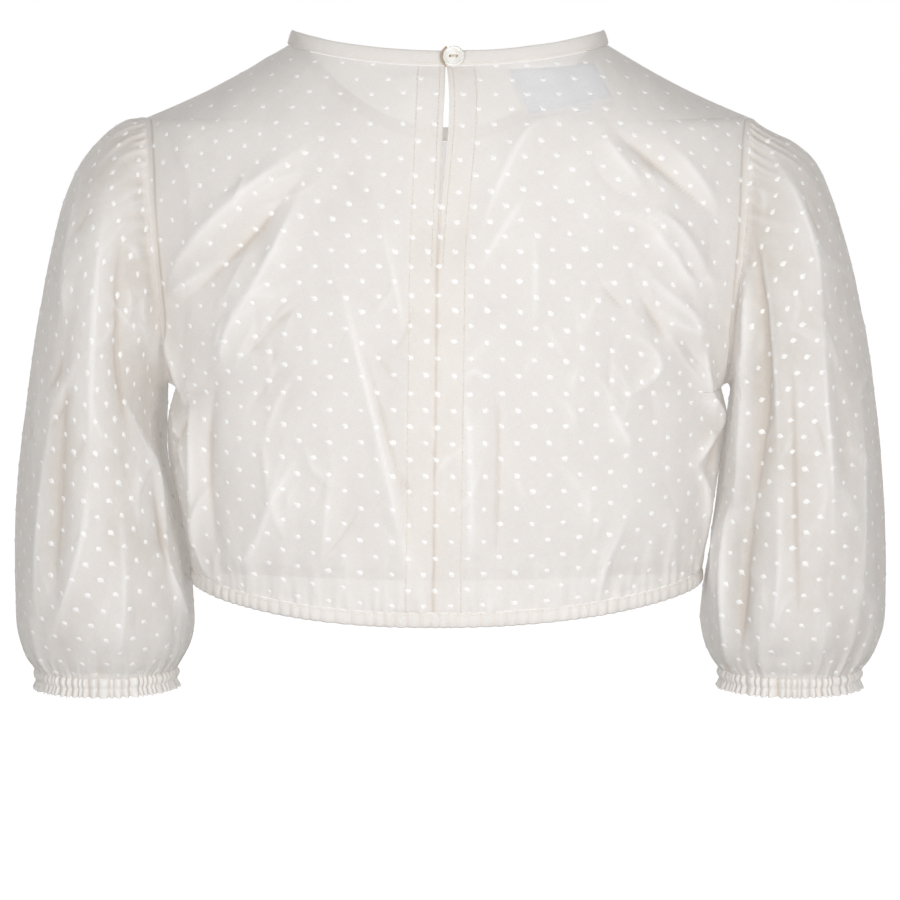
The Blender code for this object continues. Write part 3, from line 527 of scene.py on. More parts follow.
@functools.cache
def half_panel(side, back):
    """Half a panel of the body with its folds, as a grid from the centre line to its outer edge."""
    levels = panel_levels()
    points, across, edges = [], [], []
    for level in levels:
        row = body_row(level, side, back)
        lengths = lengths_along(row)
        start = slit_half(row[0, 2], side) if back else 0.0
        wanted = np.linspace(start, lengths[-1], PANEL_CELLS + 1)
        points.append(read_at(row, lengths, wanted))
        across.append(wanted)
        edges.append(row[-1])
    points, across, edges = np.array(points), np.array(across), np.array(edges)
    normals = grid_normals(points)
    if (normals[:, :, 1].mean() > 0) != back:
        normals = -normals
    normals[:, 0, 0] = 0
    normals = unit(normals)
    tip = ROWS_BELOW_ARM + ARMHOLE_ROWS_COUNT
    rise = np.zeros(points.shape[:2])
    rise += lengths_along(points[:, int(0.4 * PANEL_CELLS)])[:, None]
    steps = np.hypot(np.diff(points[tip:, :, 1], axis=0), np.diff(points[tip:, :, 2], axis=0))
    rise[tip + 1 :] = rise[tip] + np.cumsum(steps, axis=0)
    seed = 10 * (2 + side) + back
    x, z = points[:, :, 0], points[:, :, 2]
    creases = list(BACK_CREASES if back else FRONT_CREASES)
    creases += fine_folds(seed + 5, 22, (side * 70, -190), (side * 150, -60), side * 0.75)
    creases += fine_folds(seed + 6, 20, (side * 8, -270), (side * 140, -120), side * -0.2)
    placed, line = crease_height(creases, x, z)
    edge_gap = across[:, -1:] - across
    spots = np.arange(0.004, 0.24, 0.0052) + np.random.default_rng(seed).uniform(-0.0018, 0.0018, 46)
    hem = gathers(across, rise, spots[:46], seed + 1, (0.010, 0.055), 1.15 * MM, 2.3 * MM)
    flow = 0.9 * MM * unevenness(across / 0.034 + 0.5 * side, rise / 0.06, seed + 2)
    flow += 0.45 * MM * unevenness(across / 0.013, rise / 0.024, seed + 3)
    crumple = 0.10 * MM * unevenness(across / 0.005, rise / 0.006, seed + 4)
    edge_fade = smooth(edge_gap / 0.007)
    centre_fade = smooth((across + 0.001) / 0.004) if back else 1.0
    top_fade = smooth((rise.max(axis=0) - rise) / 0.010)
    low_fade = smooth((rise + 0.001) / 0.004)
    if not back:
        flow *= smooth(across / 0.02)
    sides = edge_fade * centre_fade
    height = (placed + flow + crumple) * sides * top_fade * low_fade + hem * sides
    moved = points + normals * height[:, :, None]
    slope = np.hypot(np.gradient(height, axis=0), np.gradient(height, axis=1)) / 0.00135
    fullness = np.clip(0.8 * slope, 0, 0.6) + 0.45 * np.exp(-rise / 0.012)
    fullness += 0.5 * np.exp(-edge_gap / 0.002) + 0.3 * line
    finished = grid_normals(moved)
    if (finished[:, :, 1].mean() > 0) != back:
        finished = -finished
    # Painted shading: fold troughs and hem gathers painted darker as shade, crests paler as a highlight, with the
    # painted line along each crest
    relief = np.clip(0.5 + (0.35 * placed + hem + 0.5 * flow) / (9 * MM) + 0.22 * line * edge_fade, 0, 1)
    if back:
        fullness += 0.16 * smooth((z + 0.13) / 0.05)
        for corners in (NECK_LABEL, SIZE_LABEL):
            fullness -= LABEL_SHOWS * inside_corners(corners, x, z, 3 * MM)
        # On the back, a paler band painted over the armhole's allowance, a painted shade line along its inner edge,
        # and painted shade along the centre seam
        arm = np.zeros((len(levels), 1))
        arm[ROWS_BELOW_ARM + 4 : ROWS_BELOW_ARM + ARMHOLE_ROWS_COUNT - 4] = 1
        relief += arm * 0.10 * smooth((ALLOWANCE_WIDTH - edge_gap) / (1.5 * MM))
        relief -= arm * 0.32 * np.exp(-(((edge_gap - ALLOWANCE_WIDTH) / PAINTED_LINE_WIDTH) ** 2))
        relief = np.clip(relief - 0.3 * np.exp(-across / SEAM_SHADE_WIDTH), 0, 1)
    return Panel(moved, finished, across, rise, np.clip(fullness, -1, 1), relief, edges)


def armhole_edge(side):
    """The armhole's edge as a ring from the tip down the back and up the front."""
    low, high = ROWS_BELOW_ARM, ROWS_BELOW_ARM + ARMHOLE_ROWS_COUNT
    back, front = half_panel(side, True).edges, half_panel(side, False).edges
    return np.concatenate([back[high:low:-1], front[low:high]])


def finer_ring(values, share):
    """The ring with each cell cut in share equal parts."""
    after = np.roll(values, -1, axis=0)
    parts = [values + (after - values) * k / share for k in range(share)]
    return np.stack(parts, axis=1).reshape(-1, values.shape[1])


def ring_normals(rings):
    around = np.roll(rings, -1, axis=1) - np.roll(rings, 1, axis=1)
    normals = unit(np.cross(around, np.gradient(rings, axis=0)))
    centres = rings.mean(axis=1, keepdims=True)
    lower = len(rings) // 2
    if (normals[lower:] * (rings[lower:] - centres[lower:])).sum() < 0:
        normals = -normals
    return normals


@functools.cache
def sleeve(side):
    """A sleeve's rings from the armhole to the cuff, with its folds and gathers."""
    edge = finer_ring(armhole_edge(side), SLEEVE_SHARE)
    count = len(edge)
    even = np.arange(count) * 2 * math.pi / count
    first = SLEEVE_ROWS[0]
    outer = np.array([first.outer_x, 0, first.outer_z]) * MM
    inner = np.array([first.inner_x, 0, first.inner_z]) * MM
    reach = np.linalg.norm(outer - inner) / 2
    lift = (edge[:, 2] - (outer + inner)[2] / 2) / reach
    across = (edge[:, 1] - first.y_mid * MM) / (first.half_depth * MM)
    own = np.unwrap(np.arctan2(across, lift))
    own -= 2 * math.pi * round(float((own - even).mean()) / (2 * math.pi))
    stations = np.arange(len(SLEEVE_ROWS))
    places = np.linspace(0, len(SLEEVE_ROWS) - 1, SLEEVE_CELLS + 1)
    read = {}
    for name in SleeveRow._fields:
        read[name] = along(stations, [getattr(row, name) for row in SLEEVE_ROWS], places)
    rings = []
    correction = None
    for number, place in enumerate(places):
        out, into, drop = (read[key][number] * (side < 0) for key in ("right_out", "right_in", "right_drop"))
        middle_y = read["y_mid"][number]
        outer = np.array([read["outer_x"][number] + out, middle_y, read["outer_z"][number] - drop]) * MM
        inner = np.array([read["inner_x"][number] - into, middle_y, read["inner_z"][number]]) * MM
        blend = smooth(place / SLEEVE_BLEND_ROWS)
        phi = own * (1 - blend) + even * blend
        ring = (outer + inner) / 2 + np.cos(phi)[:, None] * (outer - inner) / 2
        ring = ring + np.sin(phi)[:, None] * np.array([0, read["half_depth"][number] * MM, 0])
        ring[:, 0] *= side
        if correction is None:
            correction = edge - ring
        rings.append(ring + correction * max(1 - place / SLEEVE_BLEND_ROWS, 0) ** 2)
    rings = np.array(rings)
    normals = ring_normals(rings)
    steps = np.linalg.norm(np.diff(rings, axis=0), axis=2)
    from_cap = np.concatenate([np.zeros((1, count)), np.cumsum(steps, axis=0)])
    from_cuff = from_cap[-1] - from_cap
    seed = 60 + 7 * side
    mean_radius = 0.078
    turned = np.broadcast_to(even * mean_radius, rings.shape[:2])
    girth = 2 * math.pi * mean_radius
    back_share = smooth((np.sin(even) + 0.12) / 0.4)
    front_share = smooth((-np.sin(even) + 0.12) / 0.4)
    own_creases = LEFT_SLEEVE_CREASES if side > 0 else RIGHT_SLEEVE_CREASES
    other_creases = RIGHT_SLEEVE_CREASES if side > 0 else LEFT_SLEEVE_CREASES
    x, z = rings[:, :, 0] * side, rings[:, :, 2]
    placed, line = 0.0, 0.0
    for creases, share in ((own_creases, back_share), (other_creases, front_share)):
        fine = fine_folds(seed + 6 + len(creases), 26, (172, -320), (250, -70), 0.1)
        pushed, painted_lines = crease_height(creases + fine, x, z)
        placed = placed + pushed * share
        line = line + painted_lines * share
    rng = np.random.default_rng(seed)
    spots = (np.arange(34) + rng.uniform(-0.35, 0.35, 34)) * girth / 34
    spots = np.concatenate([spots - girth, spots, spots + girth])
    cuff = gathers(turned, from_cuff, spots, seed + 1, (0.018, 0.085), 2.3 * MM, 5.2 * MM)
    spots = np.concatenate([np.arange(-0.150, 0.150, 0.0085), np.arange(-0.150, 0.150, 0.0085) + girth])
    spots = spots + rng.uniform(-0.0025, 0.0025, len(spots))
    cap = gathers(turned, from_cap, spots, seed + 2, (0.012, 0.055), 1.6 * MM, 2.4 * MM)
    cap -= 1.0 * MM * smooth(from_cap / 0.006) * np.exp(-from_cap / 0.03)
    cap *= smooth((np.cos(even) + 0.55) / 0.6)
    flow = 1.3 * MM * unevenness(turned / girth * 12, from_cuff / 0.10, seed + 3, wrap=12)
    flow += 0.5 * MM * unevenness(turned / girth * 34, from_cuff / 0.035, seed + 4, wrap=34)
    crumple = 0.10 * MM * unevenness(turned / girth * 96, from_cuff / 0.006, seed + 5, wrap=96)
    fade = smooth(from_cap / 0.012) * smooth(from_cuff / 0.012)
    ridge = 0.9 * MM * np.abs(np.cos(cuff_turn(even, side) * CUFF_RIDGES / 2)) * np.exp(-from_cuff / 0.006)
    height = (placed + flow + crumple) * fade + cuff * smooth((from_cuff + 0.004) / 0.012) + cap + ridge
    height *= smooth((from_cap + 0.0002) / 0.003)
    moved = rings + normals * height[:, :, None]
    slope = np.hypot(np.gradient(height, axis=0), np.gradient(height, axis=1)) / 0.0017
    fullness = np.clip(0.8 * slope, 0, 0.6)
    fullness = fullness + 0.5 * np.exp(-from_cuff / 0.015) + 0.25 * np.exp(-from_cap / 0.012)
    fullness = fullness + 0.3 * line
    # Painted shading: fold troughs and gathers painted darker as shade, crests paler as a highlight, and the whole
    # sleeve set lower than the body, painted darker as if less lit
    relief = np.clip(0.36 + (0.4 * placed + cuff + cap + 0.4 * flow) / (9 * MM) + 0.35 * line, 0, 1)
    return Panel(moved, ring_normals(moved), turned, from_cuff, np.clip(fullness, 0, 1), relief, edge)


def cuff_turn(turn, side):
    """The angle round a cuff, pushed to and fro so that its ridges are uneven."""
    slow = 0.035 * np.sin(5 * turn + side) + 0.022 * np.sin(13 * turn + 2.1 * side)
    return turn + slow + 0.012 * np.sin(29 * turn)


def grid_object(name, points, material, flat=None, fullness=None, ring=False, outward=None, relief=None):
    """A mesh from a grid of points. A ring's last column joins its first. outward sets the faces' side."""
    rows, columns = points.shape[:2]
    cells = columns if ring else columns - 1
    row, step = np.meshgrid(np.arange(rows - 1), np.arange(cells), indexing="ij")
    after = (step + 1) % columns
    corners = [(row, step, step), (row, after, step + 1), (row + 1, after, step + 1), (row + 1, step, step)]
    faces = np.stack([r * columns + c for r, c, _ in corners], axis=-1).reshape(-1, 4)
    places = np.stack([np.stack([r, c], axis=-1) for r, _, c in corners], axis=2).reshape(-1, 4, 2)
    if outward is not None:
        around = np.roll(points, -1, axis=1)[:-1, :cells] - points[:-1, :cells]
        upward = points[1:, :cells] - points[:-1, :cells]
        if (np.cross(around, upward) * outward[:-1, :cells]).sum() < 0:
            faces, places = faces[:, ::-1], places[:, ::-1]
    mesh = bpy.data.meshes.new(name)
    mesh.from_pydata(points.reshape(-1, 3).tolist(), [], faces.tolist())
    mesh.shade_smooth()
    if flat is not None:
        u, v = flat
        if ring:
            u = np.concatenate([u, u[:, -1:] + (u[:, 1:2] - u[:, :1])], axis=1)
            v = np.concatenate([v, v[:, :1]], axis=1)
        spots = np.stack([u[places[..., 0], places[..., 1]], v[places[..., 0], places[..., 1]]], axis=-1)
        layer = mesh.uv_layers.new(name="cloth")
        layer.data.foreach_set("uv", spots.reshape(-1))
    for label, values in (("fullness", fullness), ("relief", relief)):
        if values is not None:
            attribute = mesh.attributes.new(label, "FLOAT", "POINT")
            attribute.data.foreach_set("value", np.array(values, np.float32).reshape(-1))
    mesh.materials.append(material)
    return link(name, mesh)


def link(name, mesh):
    obj = bpy.data.objects.new(name, mesh)
    bpy.context.scene.collection.objects.link(obj)
    return obj


def seat(obj, slot, *nodes):
    """Fixes a piece to the frame's root body and hides the solids that it stands for. The slot argument is not
    used.
    """
    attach(obj, "root")
    if nodes:
        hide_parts(*nodes)
    return obj


def make_group(name, inputs, outputs):
    """An empty shader node group with float or colour sockets. Returns it with its two end nodes."""
    group = bpy.data.node_groups.new(name, "ShaderNodeTree")
    for label, kind, value in inputs:
        socket = group.interface.new_socket(name=label, in_out="INPUT", socket_type=kind)
        if value is not None:
            socket.default_value = value
    for label, kind in outputs:
        group.interface.new_socket(name=label, in_out="OUTPUT", socket_type=kind)
    start = group.nodes.new("NodeGroupInput")
    end = group.nodes.new("NodeGroupOutput")
    start.location, end.location = (-900, 0), (600, 0)
    return group, start, end


def sum_node(tree, operation, first, second, place):
    """A maths node whose inputs are sockets or numbers."""
    node = tree.nodes.new("ShaderNodeMath")
    node.operation = operation
    node.location = place
    for socket, value in zip(node.inputs, (first, second)):
        if isinstance(value, (int, float)):
            socket.default_value = value
        else:
            tree.links.new(value, socket)
    return node.outputs[0]


@functools.cache
def weave_group():
    """Threads of the voile: a mask of how much it hides, a height and a colour value with painted shade and
    highlight, from its flat place, fullness and painted shading.
    """
    group, start, end = make_group(
        "Voile weave",
        [
            ("Place", "NodeSocketVector", None),
            ("Fullness", "NodeSocketFloat", 0.0),
            ("Relief", "NodeSocketFloat", 0.5),
            ("Opacity", "NodeSocketFloat", 0.56),
        ],
        [("Hiding", "NodeSocketFloat"), ("Height", "NodeSocketFloat"), ("Tone", "NodeSocketFloat")],
    )
    slubs = []
    for number, scale in enumerate(((3400.0, 260.0, 1.0), (260.0, 3400.0, 1.0))):
        stretch = group.nodes.new("ShaderNodeMapping")
        stretch.inputs["Scale"].default_value = scale
        stretch.location = (-700, -260 * number)
        noise = group.nodes.new("ShaderNodeTexNoise")
        noise.inputs["Scale"].default_value = 1.0
        noise.inputs["Detail"].default_value = 1.0
        noise.location = (-500, -260 * number)
        group.links.new(start.outputs["Place"], stretch.inputs["Vector"])
        group.links.new(stretch.outputs["Vector"], noise.inputs["Vector"])
        slubs.append(noise.outputs["Fac"])
    threads = sum_node(group, "ADD", slubs[0], slubs[1], (-250, 0))
    cloud = group.nodes.new("ShaderNodeTexNoise")
    cloud.inputs["Scale"].default_value = 26.0
    cloud.inputs["Detail"].default_value = 3.0
    cloud.location = (-500, -520)
    group.links.new(start.outputs["Place"], cloud.inputs["Vector"])
    swing = sum_node(group, "MULTIPLY", sum_node(group, "SUBTRACT", threads, 1.0, (-80, 0)), 0.16, (80, 0))
    drift = sum_node(group, "SUBTRACT", cloud.outputs["Fac"], 0.5, (-80, -200))
    patch = sum_node(group, "MULTIPLY", drift, 0.22, (80, -200))
    full = sum_node(group, "MULTIPLY", start.outputs["Fullness"], 0.34, (80, -360))
    hiding = sum_node(group, "ADD", start.outputs["Opacity"], swing, (220, 0))
    hiding = sum_node(group, "ADD", hiding, patch, (320, 0))
    hiding = sum_node(group, "ADD", hiding, full, (420, 0))
    hiding = sum_node(group, "MINIMUM", hiding, 0.97, (500, 0))
    group.links.new(hiding, end.inputs["Hiding"])
    group.links.new(threads, end.inputs["Height"])
    # Painted light: 0 in the deepest troughs, painted warm and dim as shade, and 1 on the crests, painted
    # pale as a highlight
    lift = sum_node(group, "MULTIPLY", start.outputs["Relief"], 1.3, (200, -460))
    tone_and_shading = sum_node(group, "ADD", sum_node(group, "MULTIPLY", drift, 0.35, (200, -300)), lift, (320, -300))
    group.links.new(tone_and_shading, end.inputs["Tone"])
    return group


def new_material(name):
    material = bpy.data.materials.new(name)
    material.use_nodes = True
    return material, material.node_tree, material.node_tree.nodes["Principled BSDF"]


def set_inputs(shader, **values):
    for label, value in values.items():
        shader.inputs[label.replace("_", " ")].default_value = value


def less_from_inside(tree, hiding, share):
    """The share of the hiding that is left where the far layers are seen from inside the blouse."""
    side = tree.nodes.new("ShaderNodeNewGeometry")
    keep = sum_node(tree, "MULTIPLY", side.outputs["Backfacing"], share - 1, (-400, -420))
    return sum_node(tree, "MULTIPLY", sum_node(tree, "ADD", keep, 1.0, (-250, -420)), hiding, (-120, -420))


@functools.cache
def voile(name, opacity):
    """Sheer cloth in its own flat coordinates. Gathers and steep folds hide more, and some of the light
    from behind comes through. Its colour is painted darker in fold troughs as shade and paler on the
    crests as a highlight."""
    material, tree, shader = new_material(name)
    place = tree.nodes.new("ShaderNodeUVMap")
    place.uv_map = "cloth"
    place.location = (-900, 0)
    weave = tree.nodes.new("ShaderNodeGroup")
    weave.node_tree = weave_group()
    weave.location = (-650, 0)
    weave.inputs["Opacity"].default_value = opacity
    tree.links.new(place.outputs["UV"], weave.inputs["Place"])
    for number, label in enumerate(("Fullness", "Relief")):
        read = tree.nodes.new("ShaderNodeAttribute")
        read.attribute_name = label.lower()
        read.location = (-900, -200 - 200 * number)
        tree.links.new(read.outputs["Fac"], weave.inputs[label])
    # The colour ramp paints shade in the fold troughs and a highlight on the crests
    tint = tree.nodes.new("ShaderNodeValToRGB")
    tint.location = (-400, 160)
    tint.color_ramp.interpolation = "EASE"
    stops = ((0.12, PAINTED_SHADE_IVORY), (0.65, IVORY), (1.0, PAINTED_HIGHLIGHT_IVORY))
    tint.color_ramp.elements.new(0.5)
    for element, (position, colour) in zip(tint.color_ramp.elements, stops):
        element.position = position
        element.color = (*colour, 1)
    tree.links.new(weave.outputs["Tone"], tint.inputs["Fac"])
    bump = tree.nodes.new("ShaderNodeBump")
    bump.location = (-350, -250)
    bump.inputs["Strength"].default_value = 0.12
    bump.inputs["Distance"].default_value = 0.0004
    tree.links.new(weave.outputs["Height"], bump.inputs["Height"])
    tree.links.new(tint.outputs["Color"], shader.inputs["Base Color"])
    tree.links.new(less_from_inside(tree, weave.outputs["Hiding"], INSIDE_VOILE_SHARE), shader.inputs["Alpha"])
    tree.links.new(bump.outputs["Normal"], shader.inputs["Normal"])
    set_inputs(shader, Roughness=0.82, Sheen_Weight=0.25, Sheen_Roughness=0.4, Specular_IOR_Level=0.15)
    through = tree.nodes.new("ShaderNodeBsdfTranslucent")
    through.location = (0, -500)
    tree.links.new(tint.outputs["Color"], through.inputs["Color"])
    blend = tree.nodes.new("ShaderNodeMixShader")
    blend.location = (320, 0)
    blend.inputs["Fac"].default_value = THROUGH_SHARE
    tree.links.new(shader.outputs["BSDF"], blend.inputs[1])
    tree.links.new(through.outputs["BSDF"], blend.inputs[2])
    tree.links.new(blend.outputs["Shader"], tree.nodes["Material Output"].inputs["Surface"])
    return material


@functools.cache
def plain_material(name, colour, roughness, sheen=0.0, coat=0.0, alpha=1.0, inside=1.0):
    """A finish of one colour with faint fine mottling. inside is how much of it is seen from behind."""
    material, tree, shader = new_material(name)
    place = tree.nodes.new("ShaderNodeTexCoord")
    noise = tree.nodes.new("ShaderNodeTexNoise")
    noise.inputs["Scale"].default_value = 900.0
    noise.inputs["Detail"].default_value = 2.0
    ramp = tree.nodes.new("ShaderNodeMix")
    ramp.data_type = "RGBA"
    ramp.inputs["A"].default_value = (*[c * 0.9 for c in colour], 1)
    ramp.inputs["B"].default_value = (*[min(c * 1.08, 0.97) for c in colour], 1)
    tree.links.new(place.outputs["Object"], noise.inputs["Vector"])
    tree.links.new(noise.outputs["Fac"], ramp.inputs["Factor"])
    tree.links.new(ramp.outputs["Result"], shader.inputs["Base Color"])
    set_inputs(shader, Roughness=roughness, Sheen_Weight=sheen, Coat_Weight=coat, Alpha=alpha)
    set_inputs(shader, Specular_IOR_Level=0.5 if coat else 0.2)
    if inside < 1:
        tree.links.new(less_from_inside(tree, alpha, inside), shader.inputs["Alpha"])
    return material


def body_cloth():
    return voile("voile", bpy.context.scene.blouse.opacity)


def sleeve_cloth():
    return voile("sleeve voile", bpy.context.scene.blouse.sleeve_opacity)


def folded_cloth():
    return voile("folded voile", FOLDED_OPACITY)


class BLOUSE_OT_body(bpy.types.Operator):
    """Makes the front and the two backs with their folds"""

    bl_idname = "blouse.body"
    bl_label = "Make Body"

    def execute(self, context):
        cloth = body_cloth()
        for side, word in ((1, "left"), (-1, "right")):
            panel = half_panel(side, True)
            flat = (panel.across * side, panel.rise)
            obj = grid_object(
                f"back_{word}_cloth", panel.points, cloth, flat, panel.fullness, False, panel.normals,
                panel.relief,
            )
            seat(obj, "voile", f"back_{word}")
        left, right = half_panel(1, False), half_panel(-1, False)

        def joined(name, sign=1):
            return np.concatenate([sign * getattr(right, name)[:, :0:-1], getattr(left, name)], axis=1)

        flat = (joined("across", -1), joined("rise"))
        obj = grid_object(
            "front_cloth", joined("points"), cloth, flat, joined("fullness"), False, joined("normals"),
            joined("relief"),
        )
        seat(obj, "voile", "front")
        return {"FINISHED"}


class BLOUSE_OT_sleeves(bpy.types.Operator):
    """Makes the two balloon sleeves"""

    bl_idname = "blouse.sleeves"
    bl_label = "Make Sleeves"

    def execute(self, context):
        for side, word in ((1, "left"), (-1, "right")):
            panel = sleeve(side)
            flat = (panel.across, panel.rise)
            obj = grid_object(
                f"sleeve_{word}_cloth", panel.points, sleeve_cloth(), flat, panel.fullness, True,
                panel.normals, panel.relief,
            )
            seat(obj, "voile", f"sleeve_{word}")
        return {"FINISHED"}


def cuff_rings(side, count):
    """Rings of a cuff: an elastic casing in uneven ridges with a scalloped frill below."""
    last = SLEEVE_ROWS[-1]
    middle = np.array([side * (last.outer_x + last.inner_x) / 2, last.y_mid, 0]) * MM
    half_x = (last.outer_x - last.inner_x) / 2 * MM
    turn = np.arange(count) * 2 * math.pi / count
    even = np.stack([side * np.cos(turn) * half_x, np.sin(turn) * last.half_depth * MM, 0 * turn], axis=1)
    out = unit(even)
    wave = np.abs(np.cos(cuff_turn(turn, side) * CUFF_RIDGES / 2))
    size = 1 + 0.25 * unevenness(turn / (2 * math.pi) * 40, 0 * turn, 31 + side, wrap=40)
    rings = []
    total = CUFF_CASING_HEIGHT + CUFF_FRILL_HEIGHT
    for fall in np.linspace(0, total, 18):
        share = fall / CUFF_CASING_HEIGHT
        if share <= 1:
            stand = 1.5 * MM * math.sin(math.pi * share) ** 0.8 - 0.2 * MM * share
            depth = (1.2 + 0.7 * math.sin(math.pi * share)) * MM
        else:
            open_share = (fall - CUFF_CASING_HEIGHT) / CUFF_FRILL_HEIGHT
            stand = (-0.2 + 2.0 * open_share) * MM
            depth = (1.2 + 1.9 * open_share) * MM
        ring = middle + even + out * (stand + depth * (wave * size - 0.6))[:, None]
        drop = fall + 0.9 * MM * (wave - 0.6) * size * smooth((fall - 0.6 * total) / (0.4 * total))
        ring[:, 2] = CUFF_TOP_Z - drop
        rings.append(ring)
    return np.array(rings), turn, wave


class BLOUSE_OT_cuffs(bpy.types.Operator):
    """Makes the elastic cuffs with their short frill"""

    bl_idname = "blouse.cuffs"
    bl_label = "Make Cuffs"

    def execute(self, context):
        for side, word in ((1, "left"), (-1, "right")):
            rings, turn, wave = cuff_rings(side, 12 * CUFF_RIDGES)
            normals = ring_normals(rings)
            flat = (np.broadcast_to(turn * 0.05, rings.shape[:2]), rings[:, :, 2])
            fullness = np.broadcast_to(0.35 + 0.5 * (1 - wave), rings.shape[:2])
            # Painted shading: the cuff's ridges painted pale as a highlight, the hollows between them painted dark
            # as shade
            relief = np.broadcast_to(0.12 + 0.6 * wave**0.7, rings.shape[:2])
            obj = grid_object(
                f"cuff_{word}_cloth", rings, folded_cloth(), flat, fullness, True, normals, relief
            )
            seat(obj, "folded_voile", f"cuff_{word}")
        return {"FINISHED"}


def body_ring(level):
    """The whole ring at one level: from the back's centre round by the left, the front and the right."""
    parts = [
        body_row(level, 1, True),
        body_row(level, 1, False)[::-1],
        body_row(level, -1, False),
        body_row(level, -1, True)[::-1],
    ]
    return np.concatenate([part[:-1] for part in parts] + [parts[-1][-1:]])


def outward_from(line, run):
    out = unit(np.cross([0.0, 0.0, 1.0], run))
    return out * np.sign((out * line).sum())


def casing_frame(count):
    ring = body_ring(0.0)
    lengths = lengths_along(ring)
    line = read_at(ring, lengths, np.arange(count) * lengths[-1] / count)
    run = np.roll(line, -1, axis=0) - np.roll(line, 1, axis=0)
    return line, outward_from(line, run), lengths[-1]


def casing_wave(turn):
    pushed = turn + 0.02 * np.sin(7 * turn) + 0.011 * np.sin(19 * turn + 1)
    return np.abs(np.cos(pushed * CASING_RIDGES / 2))


class BLOUSE_OT_casing(bpy.types.Operator):
    """Makes the gathered casing of the hem"""

    bl_idname = "blouse.casing"
    bl_label = "Make Hem Casing"

    def execute(self, context):
        count = 10 * CASING_RIDGES
        line, out, girth = casing_frame(count)
        turn = np.arange(count) * 2 * math.pi / count
        wave = casing_wave(turn)
        size = 1 + 0.5 * unevenness(turn / (2 * math.pi) * 60, 0 * turn, 5, wrap=60)
        rings = []
        # Share of the height, how far the outer layer stands out, and how deep it waves, then back up inside
        profile = (
            (0.0, 0.0, 0.3), (0.12, 0.7, 0.6), (0.35, 1.3, 0.9), (0.65, 1.4, 0.9), (0.9, 1.0, 0.8),
            (1.0, 0.3, 0.6), (0.95, -0.6, 0.5), (0.6, -1.0, 0.4), (0.15, -0.8, 0.3),
        )
        for share, stand, depth in profile:
            ring = line + out * (stand * MM + depth * MM * 0.8 * (wave * size - 0.55))[:, None]
            ring[:, 2] -= SEAM_GAP + share * CASING_HEIGHT + 0.35 * MM * (wave - 0.5) * share
            rings.append(ring)
        rings = np.array(rings)
        normals = np.broadcast_to(out, rings.shape)
        heights = np.array([p[0] for p in profile])[:, None] * CASING_HEIGHT
        flat = (np.broadcast_to(turn / (2 * math.pi) * girth, rings.shape[:2]), heights + 0 * rings[:, :, 0])
        fullness = np.broadcast_to(0.2 + 0.5 * (1 - wave), rings.shape[:2])
        # Painted shading: the casing's ridges painted paler as a highlight and the hollows between them darker as
        # shade
        relief = np.broadcast_to(0.36 + 0.26 * wave, rings.shape[:2])
        obj = grid_object("hem_casing_cloth", rings, folded_cloth(), flat, fullness, True, normals, relief)
        seat(obj, "folded_voile", "hem_casing")
        return {"FINISHED"}


def neckband_frames(count=320):
    """Seam points of the neckband from the slit's left edge to its right edge, with the directions out
    of the band and up along it."""
    ring = body_ring(1.0)
    lengths = lengths_along(ring)
    left = slit_half(SLIT_TOP_Z, 1) + 0.3 * MM
    right = lengths[-1] - slit_half(SLIT_TOP_Z, -1) - 0.5 * MM
    line = read_at(ring, lengths, np.linspace(left, right, count + 1))
    out = outward_from(line, np.gradient(line, axis=0))
    up = unit(np.array([0.0, 0.0, 1.0]) - BAND_LEAN * out)
    face = unit(out + BAND_LEAN * np.array([0.0, 0.0, 1.0]))
    return line, face, up, np.linspace(left, right, count + 1)


class BLOUSE_OT_neckband(bpy.types.Operator):
    """Makes the folded band of the neck"""

    bl_idname = "blouse.neckband"
    bl_label = "Make Neckband"

    def execute(self, context):
        line, face, up, lengths = neckband_frames()
        half = BAND_THICKNESS / 2
        uneven = 0.25 * MM * unevenness(lengths / 0.009, 0 * lengths, 3)
        # Share of the height and how far the surface stands out, up the outside and down the inside
        profile = (
            (0.0, 0.35), (0.10, 1.0), (0.30, 1.15), (0.6, 1.15), (0.85, 1.0), (0.96, 0.6), (1.0, 0.0),
            (0.96, -0.6), (0.8, -0.95), (0.4, -1.0), (0.05, -0.8), (0.0, 0.0),
        )
        rows = []
        for share, stand in profile:
            row = line + up * (0.3 * MM + share * BAND_HEIGHT) + face * (stand * half)
            row += face * (uneven * math.sin(math.pi * min(share * 1.2, 1)))[:, None]
            row += up * (0.6 * uneven * share)[:, None]
            rows.append(row)
        rows = np.array(rows)
        # The band's ends are folded in, so they narrow to a rounded edge
        for end, order in ((0, range(0, 4)), (-1, range(-1, -5, -1))):
            for number, step in enumerate(order):
                middle = (rows[3, step] + rows[9, step]) / 2
                pinch = math.sqrt(1 - (1 - number / 4) ** 2)
                rows[:, step] += (1 - pinch) * ((middle - rows[:, step]) @ face[step])[:, None] * face[step]
        steps_up = [abs(b[0] - a[0]) + 0.1 for a, b in zip(profile, profile[1:])]
        heights = np.cumsum([0] + steps_up) * BAND_HEIGHT
        flat = (np.broadcast_to(lengths, rows.shape[:2]), np.broadcast_to(heights[:, None], rows.shape[:2]))
        fullness = np.full(rows.shape[:2], 0.15)
        obj = grid_object(
            "neckband_cloth", rows, folded_cloth(), flat, fullness, False, np.broadcast_to(face, rows.shape),
            fullness * 0 + 0.5,
        )
        seat(obj, "folded_voile", "neckband")
        return {"FINISHED"}


def strip_inside(panel, low, high, count, depth):
    """A strip of a panel between two distances from its centre line, moved inwards."""
    rows, normals = [], []
    for number in range(len(panel.points)):
        start = panel.across[number, 0]
        wanted = start + np.linspace(low, high, count)
        rows.append(read_at(panel.points[number], panel.across[number], wanted))
        normals.append(read_at(panel.normals[number], panel.across[number], wanted))
    rows, normals = np.array(rows), unit(np.array(normals))
    return rows - normals * depth, normals


